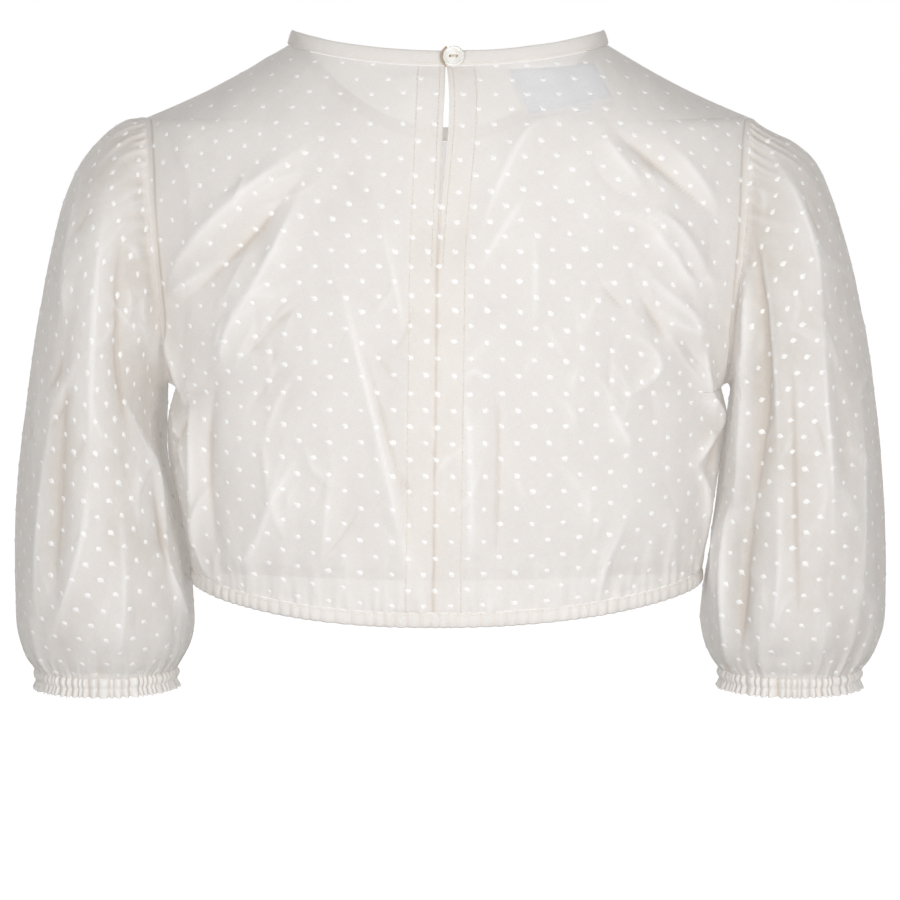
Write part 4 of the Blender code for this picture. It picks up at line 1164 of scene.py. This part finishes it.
class BLOUSE_OT_facings(bpy.types.Operator):
    """Makes the facings of the centre back and the seam allowances of the armholes"""

    bl_idname = "blouse.facings"
    bl_label = "Make Facings"

    def execute(self, context):
        cloth = voile("facing voile", FACING_OPACITY)
        for side, word in ((1, "left"), (-1, "right")):
            panel = half_panel(side, True)
            rows, normals = strip_inside(panel, 0.0, FACING_WIDTH, 18, LAYER_DEPTH)
            wander = 0.5 * MM * unevenness(panel.rise[:, :1] / 0.03, 0 * panel.rise[:, :1], 77 + side)
            rows[:, :, 0] += side * wander * np.linspace(0, 1, 18)
            flat = (np.broadcast_to(np.linspace(0, FACING_WIDTH, 18), rows.shape[:2]), panel.rise[:, :18])
            fullness = np.zeros(rows.shape[:2])
            fullness[:, :2] = 0.8
            fullness[:, -2:] = 0.9
            relief = np.full(np.shape(fullness), 0.55)
            obj = grid_object(f"facing_{word}_cloth", rows, cloth, flat, fullness, False, normals, relief)
            seat(obj, "folded_voile", f"facing_{word}")
            self.allowance(side, word, cloth)
        return {"FINISHED"}

    def allowance(self, side, word, cloth):
        """The band inside the armhole: a ring from the tip down the back, round the underarm and up."""
        low, high = ROWS_BELOW_ARM, ROWS_BELOW_ARM + ARMHOLE_ROWS_COUNT
        count = 7
        rows, normals = [], []
        for back, order in ((True, range(high - 1, low + 2, -1)), (False, range(low + 3, high))):
            panel = half_panel(side, back)
            if not back:
                for turn in np.linspace(0.12, 0.88, 9) * math.pi:
                    lean = np.array([0, math.cos(turn), -math.sin(turn)])
                    reach = np.linspace(0.2 * MM, ALLOWANCE_WIDTH, count)[:, None]
                    foot = np.array([side * (UNDERARM_X - 1.6 * MM), 0.0, UNDERARM_Z])
                    rows.append(foot + lean * reach - np.array([side, 0, 0]) * reach * 0.12)
                    normals.append(np.tile([side, 0.0, 0.0], (count, 1)))
            for number in order:
                end = panel.across[number, -1]
                wanted = end - np.linspace(0.2 * MM, ALLOWANCE_WIDTH, count)
                line = read_at(panel.points[number], panel.across[number], wanted)
                normal = unit(read_at(panel.normals[number], panel.across[number], wanted))
                rows.append(line - normal * LAYER_DEPTH)
                normals.append(normal)
        rows, normals = np.array(rows).transpose(1, 0, 2), np.array(normals).transpose(1, 0, 2)
        steps = np.arange(rows.shape[1]) * 2 * MM
        inward = np.zeros(rows.shape[:2]) + np.arange(count)[:, None] * MM
        flat = (np.broadcast_to(steps, rows.shape[:2]), inward)
        fullness = np.full(rows.shape[:2], 0.55)
        fullness[-2:] = 1.0
        relief = np.full(rows.shape[:2], 0.58)
        obj = grid_object(f"armhole_binding_{word}_cloth", rows, cloth, flat, fullness, True, normals, relief)
        seat(obj, "folded_voile", f"armhole_binding_{word}")


def band_frame_at_back():
    """A point on the band's middle line at the button, and the band's outward direction."""
    line, face, up, _ = neckband_frames(64)
    centre = line[-1] + up[-1] * (SEAM_GAP + 0.5 * MM + 8.5 * MM * 0.5)
    centre[0] = BUTTON_X
    return Vector(centre), Vector((0, face[-1][1], face[-1][2])).normalized()


def tube(name, points, radius, material, segments=8):
    """A round tube along a line of points."""
    curve = bpy.data.curves.new(name, "CURVE")
    curve.dimensions = "3D"
    spline = curve.splines.new("POLY")
    spline.points.add(len(points) - 1)
    for spot, place in zip(spline.points, points):
        spot.co = (*place, 1)
    curve.bevel_depth = radius
    curve.bevel_resolution = max(segments // 4, 1)
    curve.use_fill_caps = True
    holder = bpy.data.objects.new(name, curve)
    bpy.context.scene.collection.objects.link(holder)
    bpy.context.view_layer.update()
    mesh = bpy.data.meshes.new_from_object(holder.evaluated_get(bpy.context.evaluated_depsgraph_get()))
    bpy.data.objects.remove(holder)
    mesh.name = name
    mesh.materials.clear()
    mesh.materials.append(material)
    mesh.shade_smooth()
    return mesh


def join_meshes(name, meshes):
    """One object from several meshes that share their material."""
    shape = bmesh.new()
    for mesh in meshes:
        shape.from_mesh(mesh)
    joined = bpy.data.meshes.new(name)
    shape.to_mesh(joined)
    shape.free()
    for material in meshes[0].materials:
        joined.materials.append(material)
    for mesh in meshes:
        bpy.data.meshes.remove(mesh)
    joined.shade_smooth()
    return link(name, joined)


def pearl_material():
    """Mother of pearl: pale bands that drift between cream shades, under a clear polish."""
    material, tree, shader = new_material("mother of pearl")
    place = tree.nodes.new("ShaderNodeTexCoord")
    bands = tree.nodes.new("ShaderNodeTexWave")
    bands.inputs["Scale"].default_value = 40.0
    bands.inputs["Distortion"].default_value = 9.0
    bands.inputs["Detail"].default_value = 3.0
    ramp = tree.nodes.new("ShaderNodeValToRGB")
    ramp.color_ramp.elements[0].color = (0.80, 0.77, 0.72, 1)
    ramp.color_ramp.elements[1].color = (0.90, 0.88, 0.86, 1)
    middle = ramp.color_ramp.elements.new(0.5)
    middle.color = (0.86, 0.84, 0.80, 1)
    tree.links.new(place.outputs["Object"], bands.inputs["Vector"])
    tree.links.new(bands.outputs["Fac"], ramp.inputs["Fac"])
    tree.links.new(ramp.outputs["Color"], shader.inputs["Base Color"])
    set_inputs(shader, Roughness=0.22, Coat_Weight=0.6, Coat_Roughness=0.06)
    return material


class BLOUSE_OT_button(bpy.types.Operator):
    """Makes the two-hole button, its thread and the loop round it"""

    bl_idname = "blouse.button"
    bl_label = "Make Button"

    def execute(self, context):
        centre, out = band_frame_at_back()
        stand = 1.0 * MM + 0.35 * MM + 0.3 * MM
        place = Matrix.Translation(centre + out * stand) @ out.to_track_quat("Z", "Y").to_matrix().to_4x4()
        radius, half = BUTTON_RADIUS, BUTTON_THICKNESS
        profile = [
            (radius * 0.70, 0.0), (radius * 0.90, half * 0.14), (radius, half * 0.42), (radius, half * 0.66),
            (radius * 0.975, half * 0.86), (radius * 0.93, half * 0.97), (radius * 0.87, half),
            (radius * 0.81, half * 0.95), (radius * 0.75, half * 0.83), (radius * 0.66, half * 0.775),
            (radius * 0.34, half * 0.745),
        ]
        segments = 96
        points, faces = [(0, 0, 0)], []
        for reach, rise in profile:
            for k in range(segments):
                turn = 2 * math.pi * k / segments
                points.append((reach * math.cos(turn), reach * math.sin(turn), rise))
        points.append((0, 0, half * 0.74))
        for k in range(segments):
            after = (k + 1) % segments
            faces.append([0, 1 + after, 1 + k])
            for ring in range(len(profile) - 1):
                low, high = 1 + ring * segments, 1 + (ring + 1) * segments
                faces.append([low + k, low + after, high + after, high + k])
            last = 1 + (len(profile) - 1) * segments
            faces.append([last + k, last + after, len(points) - 1])
        mesh = bpy.data.meshes.new("button")
        mesh.from_pydata(points, [], faces)
        blank = link("button_blank", mesh)
        for side in (1, -1):
            pin = bpy.data.meshes.new("pin")
            shape = bmesh.new()
            bmesh.ops.create_cone(
                shape, cap_ends=True, segments=24, radius1=BUTTON_HOLE_RADIUS, radius2=BUTTON_HOLE_RADIUS,
                depth=6 * half, matrix=Matrix.Translation((side * BUTTON_HOLE_SPACING / 2, 0, 0)),
            )
            shape.to_mesh(pin)
            shape.free()
            cutter = link(f"hole_cutter_{side}", pin)
            cut = blank.modifiers.new("hole", "BOOLEAN")
            cut.operation = "DIFFERENCE"
            cut.object = cutter
        context.view_layer.update()
        made = bpy.data.meshes.new_from_object(blank.evaluated_get(context.evaluated_depsgraph_get()))
        for cutter in [c.object for c in blank.modifiers]:
            bpy.data.objects.remove(cutter)
        bpy.data.objects.remove(blank)
        made.transform(place)
        made.name = "pearl_button"
        made.materials.clear()
        made.materials.append(pearl_material())
        made.shade_smooth()
        made.set_sharp_from_angle(angle=math.radians(40))
        seat(link("pearl_button", made), "pearl", "button")
        self.thread(place)
        self.loop(centre, out)
        return {"FINISHED"}

    def thread(self, place):
        """Strands of thread from hole to hole, over the button's face and down to the band."""
        thread = plain_material("button thread", (0.66, 0.56, 0.43), 0.75)
        top = BUTTON_THICKNESS * 0.745
        half = BUTTON_HOLE_SPACING / 2
        strands = []
        for number, lane in enumerate((-0.42, -0.14, 0.14, 0.42)):
            line = []
            for step in range(15):
                share = step / 14 * 2 - 1
                lift = top + 0.38 * MM * math.sqrt(max(1 - abs(share) ** 3, 0))
                if abs(share) > 0.93:
                    lift = -0.5 * MM
                x = share * (half + 0.2 * MM)
                line.append(place @ Vector((x, lane * MM * (1 - 0.25 * abs(share)), lift)))
            strands.append(tube(f"strand_{number}", line, 0.19 * MM, thread))
        seat(join_meshes("button_thread", strands), "loop_thread")

    def loop(self, centre, out):
        """Two threads twisted round each other along the loop."""
        thread = plain_material("loop thread", THREAD_BEIGE, 0.8, sheen=0.3)
        up = Vector((0, -out.z, out.y))
        stand = 1.0 * MM + 0.35 * MM + 0.3 * MM + LOOP_RADIUS
        reach = BUTTON_RADIUS + 0.3 * MM + LOOP_RADIUS
        strands = []
        for ply in (0, 1, 2):
            line = []
            for step in range(97):
                turn = math.radians(-56 + 112 * step / 96)
                ray = Vector((math.cos(turn), 0, 0)) + up * math.sin(turn)
                twist = ply * 2 * math.pi / 3 + step * 0.42
                spot = centre + out * (stand + 0.28 * MM * math.sin(twist))
                line.append(spot + ray * (reach + 0.28 * MM * math.cos(twist)))
            strands.append(tube(f"ply_{ply}", line, 0.30 * MM, thread))
        seat(join_meshes("thread_loop_plies", strands), "loop_thread", "thread_loop")


def label_grid(corners, columns, rows, depth):
    """A nearly flat grid inside the right back, between four corners of the back view."""
    panel = half_panel(-1, True)
    flat = panel.points.reshape(-1, 3)
    spots = panel.normals.reshape(-1, 3)
    corners = np.array(corners, float) * MM
    grid = np.zeros((rows, columns, 3))
    mean = np.zeros(3)
    for row in range(rows):
        for step in range(columns):
            u, v = step / (columns - 1), row / (rows - 1)
            top = corners[0] * (1 - u) + corners[1] * u
            bottom = corners[3] * (1 - u) + corners[2] * u
            x, z = top * (1 - v) + bottom * v
            nearest = np.argmin((flat[:, 0] - x) ** 2 + (flat[:, 2] - z) ** 2)
            normal = spots[nearest]
            off_x, off_z = x - flat[nearest, 0], z - flat[nearest, 2]
            y = flat[nearest, 1] - (normal[0] * off_x + normal[2] * off_z) / normal[1]
            grid[row, step] = (x, y, z)
            mean += normal
    mean = unit(mean)
    distances = (grid - grid.mean(axis=(0, 1))) @ mean
    plane = grid - 0.4 * distances[:, :, None] * mean
    return plane + mean * (np.min(0.4 * distances) - depth), mean


class BLOUSE_OT_labels(bpy.types.Operator):
    """Makes the two bare labels inside the neck"""

    bl_idname = "blouse.labels"
    bl_label = "Make Labels"

    def execute(self, context):
        cloth = plain_material("woven label", LABEL_WHITE, 0.6, sheen=0.2)
        labels = (("neck_label", NECK_LABEL, 1.4 * MM), ("size_label", SIZE_LABEL, 1.5 * MM))
        for name, corners, depth in labels:
            grid, mean = label_grid(corners, 40, 24, depth)
            u, v = np.meshgrid(np.linspace(0, 1, 40), np.linspace(0, 1, 24))
            wave = 0.35 * MM * unevenness(u * 4, v * 3, 12) - 0.5 * MM * (np.abs(v - 0.5) * 2) ** 6
            grid = grid + mean * (wave - 0.4 * MM)[:, :, None]
            outer = grid_object(name + "_tape", grid, cloth, outward=np.broadcast_to(mean, grid.shape))
            thick = outer.modifiers.new("thickness", "SOLIDIFY")
            thick.thickness = 0.35 * MM
            context.view_layer.update()
            made = bpy.data.meshes.new_from_object(outer.evaluated_get(context.evaluated_depsgraph_get()))
            outer.modifiers.clear()
            outer.data = made
            seat(outer, "label", name)
        return {"FINISHED"}


def find_places(panel, wanted_across, wanted_rise):
    """Grid places (row, column) whose flat coordinates are the wanted ones, and which of them exist."""
    rows, columns = panel.across.shape
    row_flip = panel.rise[0, 0] > panel.rise[-1, 0]
    column_at = np.full(len(wanted_across), columns / 2.0)
    row_at = np.zeros(len(wanted_across))
    for _ in range(8):
        low = np.clip(column_at.astype(int), 0, columns - 2)
        part = column_at - low
        rises = panel.rise[:, low] * (1 - part) + panel.rise[:, low + 1] * part
        row_at = column_search(rises[::-1] if row_flip else rises, wanted_rise)
        if row_flip:
            row_at = rows - 1 - row_at
        low = np.clip(row_at.astype(int), 0, rows - 2)
        part = (row_at - low)[:, None]
        across = panel.across[low] * (1 - part) + panel.across[low + 1] * part
        column_at = column_search(across.T, wanted_across)
    low = np.clip(column_at.astype(int), 0, columns - 2)
    part = column_at - low
    rises = panel.rise[:, low] * (1 - part) + panel.rise[:, low + 1] * part
    found = (wanted_rise > rises.min(axis=0)) & (wanted_rise < rises.max(axis=0))
    found &= (wanted_across > across[:, 0]) & (wanted_across < across[:, -1])
    return row_at, column_at, found


def column_search(table, wanted):
    """For each column of the rising table, the row place where it reaches its wanted value."""
    last = table.shape[0] - 1
    low = np.clip((table < wanted).sum(axis=0) - 1, 0, last - 1)
    pick = np.arange(table.shape[1])
    start, end = table[low, pick], table[low + 1, pick]
    return low + np.clip((wanted - start) / np.maximum(end - start, 1e-9), 0, 1)


def read_grid(grid, row_at, column_at):
    rows, columns = grid.shape[:2]
    row, step = np.clip(row_at.astype(int), 0, rows - 2), np.clip(column_at.astype(int), 0, columns - 2)
    v, u = (row_at - row)[:, None], (column_at - step)[:, None]
    low = grid[row, step] * (1 - u) + grid[row, step + 1] * u
    high = grid[row + 1, step] * (1 - u) + grid[row + 1, step + 1] * u
    return low * (1 - v) + high * v


def tuft_places(panel, pitch, rise, shift, mirror, seed):
    """Points, normals and directions across the cloth of a panel's tufts, in staggered rows."""
    reach = float(panel.across.max())
    spots = []
    for number in range(int(panel.rise.max() / rise) + 1):
        start = (shift + 0.5 * (number % 2)) * pitch
        for step in range(-1, int(reach / pitch) + 2):
            spots.append((start + step * pitch, (number + 0.45) * rise))
    spots = np.array(spots)
    rng = np.random.default_rng(seed)
    spots += rng.normal(0, 0.02, spots.shape) * rise
    row_at, column_at, found = find_places(panel, spots[:, 0], spots[:, 1])
    row_at, column_at = row_at[found], column_at[found]
    points = read_grid(panel.points, row_at, column_at)
    normals = unit(read_grid(panel.normals, row_at, column_at))
    ahead = read_grid(panel.points, row_at, np.minimum(column_at + 0.5, panel.across.shape[1] - 1.01))
    behind = read_grid(panel.points, row_at, np.maximum(column_at - 0.5, 0))
    return points, normals, unit(ahead - behind) * (-1 if mirror else 1)


def tuft_shape(size):
    """One woven-in tuft: a soft pad, flat at one end, with a short tail of thread."""
    columns, rows = 7, 6
    points, faces = [], []
    for row in range(rows):
        v = row / (rows - 1) * 2 - 1
        for step in range(columns):
            u = step / (columns - 1) * 2 - 1
            half = math.sqrt(max(1 - (0.92 * abs(v)) ** 3.2, 0)) * (1 - 0.16 * u * (v + 0.4))
            dome = max(1 - abs(u) ** 3, 0) * max(1 - abs(v) ** 3, 0)
            fray = 0.06 * math.sin(5.1 * v + 2 * u) * (u > 0.5)
            rise = 0.10 * dome + 0.02 * math.sin(9 * u) * dome
            points.append((size * (0.5 * u * half + fray * 0.5), size * 0.41 * v, size * rise + 0.05 * MM))
    for row in range(rows - 1):
        for step in range(columns - 1):
            low = row * columns + step
            faces.append([low, low + 1, low + columns + 1, low + columns])
    start = len(points)
    for k, (x, y, z) in enumerate(((0.36, -0.22, 0.05), (0.52, -0.36, 0.04), (0.66, -0.44, 0.03))):
        wide = (0.12, 0.10, 0.05)[k]
        points.append((size * x, size * (y + wide), size * z + 0.05 * MM))
        points.append((size * x, size * (y - wide), size * z + 0.05 * MM))
    for k in (0, 1):
        low = start + 2 * k
        faces.append([low + 1, low + 3, low + 2, low])
    mesh = bpy.data.meshes.new("tuft")
    mesh.from_pydata(points, [], faces)
    mesh.shade_smooth()
    return link("tuft_shape", mesh)


def scatter_group(name, turn, least, most):
    """Geometry nodes: an instance on each point, turned by its normal and its direction along the cloth."""
    group = bpy.data.node_groups.new(name, "GeometryNodeTree")
    face = group.interface
    face.new_socket(name="Geometry", in_out="INPUT", socket_type="NodeSocketGeometry")
    shape = face.new_socket(name="Shape", in_out="INPUT", socket_type="NodeSocketObject")
    seed = face.new_socket(name="Seed", in_out="INPUT", socket_type="NodeSocketInt")
    material = face.new_socket(name="Material", in_out="INPUT", socket_type="NodeSocketMaterial")
    face.new_socket(name="Geometry", in_out="OUTPUT", socket_type="NodeSocketGeometry")
    nodes, links = group.nodes, group.links
    start, end = nodes.new("NodeGroupInput"), nodes.new("NodeGroupOutput")
    info = nodes.new("GeometryNodeObjectInfo")
    links.new(start.outputs["Shape"], info.inputs["Object"])
    normal = nodes.new("GeometryNodeInputNamedAttribute")
    normal.data_type = "FLOAT_VECTOR"
    normal.inputs["Name"].default_value = "outward"
    run = nodes.new("GeometryNodeInputNamedAttribute")
    run.data_type = "FLOAT_VECTOR"
    run.inputs["Name"].default_value = "run"
    frame_node = nodes.new("FunctionNodeAxesToRotation")
    frame_node.primary_axis = "Z"
    frame_node.secondary_axis = "X"
    links.new(normal.outputs["Attribute"], frame_node.inputs["Primary Axis"])
    links.new(run.outputs["Attribute"], frame_node.inputs["Secondary Axis"])
    swing = nodes.new("FunctionNodeRandomValue")
    swing.data_type = "FLOAT_VECTOR"
    swing.inputs["Min"].default_value = (0, 0, -turn)
    swing.inputs["Max"].default_value = (0, 0, turn)
    links.new(start.outputs["Seed"], swing.inputs["Seed"])
    turned = nodes.new("FunctionNodeRotateRotation")
    turned.rotation_space = "LOCAL"
    links.new(frame_node.outputs["Rotation"], turned.inputs["Rotation"])
    links.new(swing.outputs["Value"], turned.inputs["Rotate By"])
    size = nodes.new("FunctionNodeRandomValue")
    size.data_type = "FLOAT"
    size.inputs[2].default_value = least
    size.inputs[3].default_value = most
    links.new(start.outputs["Seed"], size.inputs["Seed"])
    place = nodes.new("GeometryNodeInstanceOnPoints")
    links.new(start.outputs["Geometry"], place.inputs["Points"])
    links.new(info.outputs["Geometry"], place.inputs["Instance"])
    links.new(turned.outputs["Rotation"], place.inputs["Rotation"])
    links.new(size.outputs[1], place.inputs["Scale"])
    real = nodes.new("GeometryNodeRealizeInstances")
    finish = nodes.new("GeometryNodeSetMaterial")
    links.new(place.outputs["Instances"], real.inputs["Geometry"])
    links.new(real.outputs["Geometry"], finish.inputs["Geometry"])
    links.new(start.outputs["Material"], finish.inputs["Material"])
    links.new(finish.outputs["Geometry"], end.inputs["Geometry"])
    return group, {"Shape": shape.identifier, "Seed": seed.identifier, "Material": material.identifier}


def scatter(name, points, normals, runs, shape, group, sockets, seed, material):
    """Runs the scatter group over the points and keeps its result as a plain mesh."""
    mesh = bpy.data.meshes.new(name)
    mesh.from_pydata(points.tolist(), [], [])
    for label, values in (("outward", normals), ("run", runs)):
        attribute = mesh.attributes.new(label, "FLOAT_VECTOR", "POINT")
        attribute.data.foreach_set("vector", np.asarray(values, float).reshape(-1))
    holder = link(name + "_points", mesh)
    modifier = holder.modifiers.new("scatter", "NODES")
    modifier.node_group = group
    modifier[sockets["Shape"]] = shape
    modifier[sockets["Seed"]] = seed
    modifier[sockets["Material"]] = material
    bpy.context.view_layer.update()
    made = bpy.data.meshes.new_from_object(holder.evaluated_get(bpy.context.evaluated_depsgraph_get()))
    bpy.data.objects.remove(holder)
    made.name = name
    made.shade_smooth()
    return link(name, made)


class BLOUSE_OT_tufts(bpy.types.Operator):
    """Scatters the woven-in tufts in staggered rows over every panel"""

    bl_idname = "blouse.tufts"
    bl_label = "Make Tufts"

    def execute(self, context):
        settings = context.scene.blouse
        shape = tuft_shape(settings.tuft_size)
        group, sockets = scatter_group("Tufts", 0.35, 0.85, 1.12)
        material = plain_material("tuft cotton", TUFT_WHITE, 0.9, sheen=0.3, alpha=0.80, inside=INSIDE_TUFT_SHARE)
        parts = {
            "tufts_back_left": [(half_panel(1, True), 0.3, False)],
            "tufts_back_right": [(half_panel(-1, True), 0.55, True)],
            "tufts_front": [(half_panel(1, False), 0.0, False), (half_panel(-1, False), 0.0, True)],
            "tufts_sleeve_left": [(sleeve(1), 0.1, False)],
            "tufts_sleeve_right": [(sleeve(-1), 0.35, True)],
        }
        for number, (name, panels) in enumerate(parts.items()):
            pitch = settings.tuft_pitch * (SLEEVE_TUFT_STRETCH if "sleeve" in name else 1)
            found = [
                tuft_places(panel, pitch, settings.tuft_rise, shift, mirror, settings.seed + number)
                for panel, shift, mirror in panels
            ]
            points, normals, runs = (np.concatenate([f[k] for f in found]) for k in range(3))
            seed = settings.seed + number
            obj = scatter(name, points, normals, runs, shape, group, sockets, seed, material)
            seat(obj, "voile")
        bpy.data.objects.remove(shape)
        return {"FINISHED"}


def stitch_shape(length, radius):
    """One stitch: a short rounded thread that dips into the cloth at both ends."""
    points, faces = [], []
    segments, steps = 6, 5
    for step in range(steps):
        share = step / (steps - 1) * 2 - 1
        thick = radius * math.sqrt(max(1 - (0.95 * share) ** 4, 0.02))
        for k in range(segments):
            turn = 2 * math.pi * k / segments
            points.append(
                (
                    share * length / 2, thick * math.cos(turn),
                    thick * math.sin(turn) + radius * (0.9 - share * share),
                )
            )
    for step in range(steps - 1):
        for k in range(segments):
            after = (k + 1) % segments
            low, high = step * segments, (step + 1) * segments
            faces.append([low + k, high + k, high + after, low + after])
    mesh = bpy.data.meshes.new("stitch")
    mesh.from_pydata(points, [], faces)
    mesh.shade_smooth()
    return link("stitch_shape", mesh)


def spaced(points, normals, pitch):
    """Even places along a line, with their normals and the line's direction there."""
    lengths = lengths_along(points)
    wanted = np.arange(pitch / 2, lengths[-1], pitch)
    places = read_at(points, lengths, wanted)
    ahead = read_at(points, lengths, np.minimum(wanted + pitch / 4, lengths[-1]))
    behind = read_at(points, lengths, np.maximum(wanted - pitch / 4, 0))
    return places, unit(read_at(normals, lengths, wanted)), unit(ahead - behind)


class BLOUSE_OT_stitches(bpy.types.Operator):
    """Sews the visible rows of stitches: neckband, slit, facings and hem casing"""

    bl_idname = "blouse.stitches"
    bl_label = "Make Stitches"

    def execute(self, context):
        settings = context.scene.blouse
        pitch = settings.stitch_pitch
        shape = stitch_shape(0.82 * pitch, 0.16 * MM)
        group, sockets = scatter_group("Stitches", 0.05, 0.92, 1.06)
        material = plain_material("sewing thread", (0.80, 0.76, 0.68), 0.6)
        line, face, up, lengths = neckband_frames()
        half = BAND_THICKNESS / 2
        neck = line + up * (0.3 * MM + 0.14 * BAND_HEIGHT) + face * (1.08 * half)
        rows = {"neckband_stitches": [(neck, face)]}
        ring, out, _ = casing_frame(1200)
        turn = np.arange(1200) * 2 * math.pi / 1200
        wave = casing_wave(turn)
        seam = ring + out * (0.75 * MM + 0.5 * MM * (wave - 0.55))[:, None]
        seam[:, 2] -= SEAM_GAP + 0.14 * CASING_HEIGHT
        rows["hem_stitches"] = [(seam, out)]
        backs = []
        for side in (1, -1):
            panel = half_panel(side, True)
            backs.append(self.line_on(panel, FACING_WIDTH - 1.2 * MM, 0.2 * MM))
            slit = panel.points[:, 0, 2] > SLIT_END_Z - 4 * MM
            place, normal = self.line_on(panel, 3.2 * MM, 0.2 * MM)
            backs.append((place[slit], normal[slit]))
        rows["back_stitches"] = backs
        for number, (name, paths) in enumerate(rows.items()):
            found = [spaced(points, normals, pitch) for points, normals in paths]
            points, normals, runs = (np.concatenate([f[k] for f in found]) for k in range(3))
            seed = settings.seed + number
            obj = scatter(name, points, normals, runs, shape, group, sockets, seed, material)
            seat(obj, "folded_voile")
        bpy.data.objects.remove(shape)
        return {"FINISHED"}

    def line_on(self, panel, distance, stand):
        """A line up a panel at one distance from its centre edge, just outside it."""
        places, normals = strip_inside(panel, distance, distance + 0.1 * MM, 2, -stand)
        return places[:, 0], normals[:, 0]


CAMERA_DISTANCE = 2.35
CAMERA_AIM = (-0.0012, 0.0, -0.242)
FLOOR_Z = -0.80


class BLOUSE_OT_stage(bpy.types.Operator):
    """Makes the floor, the lights and the camera"""

    bl_idname = "blouse.stage"
    bl_label = "Make Stage"

    def execute(self, context):
        scene = context.scene
        mesh = bpy.data.meshes.new("floor")
        half = 12.0
        mesh.from_pydata(
            [(-half, -half, FLOOR_Z), (half, -half, FLOOR_Z), (half, half, FLOOR_Z), (-half, half, FLOOR_Z)],
            [], [(0, 1, 2, 3)],
        )
        floor = link("floor", mesh)
        material, tree, shader = new_material("white floor")
        set_inputs(shader, Base_Color=(0.2, 0.2, 0.2, 1), Roughness=1.0, Emission_Color=(1, 1, 1, 1))
        tree.links.new(self.seen_strength(tree, 0.12, 0.95), shader.inputs["Emission Strength"])
        mesh.materials.append(material)
        self.light("left key", (0.50, 1.2, -0.25), 0.5, 6.6)
        self.light("right key", (-0.55, 1.2, -0.20), 0.5, 8.0)
        self.light("top", (0.0, 0.6, 1.8), 1.2, 4.0)
        self.light("front", (0.6, -2.4, 0.9), 1.8, 17.0)
        self.world(scene)
        camera = bpy.data.cameras.new("camera")
        camera.sensor_width = 36.0
        camera.lens = 157.3
        camera.clip_start, camera.clip_end = 0.05, 60.0
        eye = bpy.data.objects.new("camera", camera)
        eye.location = (CAMERA_AIM[0], CAMERA_DISTANCE, 0.0)
        aim = Vector(CAMERA_AIM) - eye.location
        eye.rotation_euler = aim.to_track_quat("-Z", "Y").to_euler()
        scene.collection.objects.link(eye)
        scene.camera = eye
        scene.view_settings.view_transform = "Standard"
        scene.cycles.transparent_max_bounces = 32
        return {"FINISHED"}

    def light(self, name, place, size, power):
        lamp = bpy.data.lights.new(name, "AREA")
        lamp.shape = "SQUARE"
        lamp.size = size
        lamp.energy = power
        obj = bpy.data.objects.new(name, lamp)
        obj.location = place
        obj.rotation_euler = (Vector((0, 0, -0.24)) - obj.location).to_track_quat("-Z", "Y").to_euler()
        bpy.context.scene.collection.objects.link(obj)

    def seen_strength(self, tree, unseen, seen):
        """A strength that is one value where the camera looks and another for the light itself."""
        path = tree.nodes.new("ShaderNodeLightPath")
        strength = tree.nodes.new("ShaderNodeMapRange")
        strength.inputs["To Min"].default_value = unseen
        strength.inputs["To Max"].default_value = seen
        tree.links.new(path.outputs["Is Camera Ray"], strength.inputs["Value"])
        return strength.outputs["Result"]

    def world(self, scene):
        """White behind the blouse, and a softer white for its light."""
        world = bpy.data.worlds.new("studio")
        world.use_nodes = True
        tree = world.node_tree
        tree.nodes.clear()
        out = tree.nodes.new("ShaderNodeOutputWorld")
        shine = tree.nodes.new("ShaderNodeBackground")
        shine.inputs["Color"].default_value = (1, 1, 1, 1)
        tree.links.new(self.seen_strength(tree, 0.36, 1.0), shine.inputs["Strength"])
        tree.links.new(shine.outputs["Background"], out.inputs["Surface"])
        scene.world = world


class BLOUSE_PT_panel(bpy.types.Panel):
    """Lists the blouse's settings and operators"""

    bl_idname = "BLOUSE_PT_panel"
    bl_label = "Blouse"
    bl_space_type = "VIEW_3D"
    bl_region_type = "UI"
    bl_category = "Blouse"

    def draw(self, context):
        for name in BlouseSettings.__annotations__:
            self.layout.prop(context.scene.blouse, name)
        for operator in OPERATORS:
            self.layout.operator(operator.bl_idname)


OPERATORS = (
    BLOUSE_OT_body,
    BLOUSE_OT_sleeves,
    BLOUSE_OT_cuffs,
    BLOUSE_OT_casing,
    BLOUSE_OT_neckband,
    BLOUSE_OT_facings,
    BLOUSE_OT_button,
    BLOUSE_OT_labels,
    BLOUSE_OT_tufts,
    BLOUSE_OT_stitches,
    BLOUSE_OT_stage,
)
CLASSES = (BlouseSettings, *OPERATORS, BLOUSE_PT_panel)


def register():
    for cls in CLASSES:
        bpy.utils.register_class(cls)
    bpy.types.Scene.blouse = PointerProperty(type=BlouseSettings)


def unregister():
    del bpy.types.Scene.blouse
    for cls in reversed(CLASSES):
        bpy.utils.unregister_class(cls)


def main():
    register()
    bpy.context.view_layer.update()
    for operator in OPERATORS:
        family, name = operator.bl_idname.split(".")
        getattr(getattr(bpy.ops, family), name)()


if __name__ == "__main__":
    main()
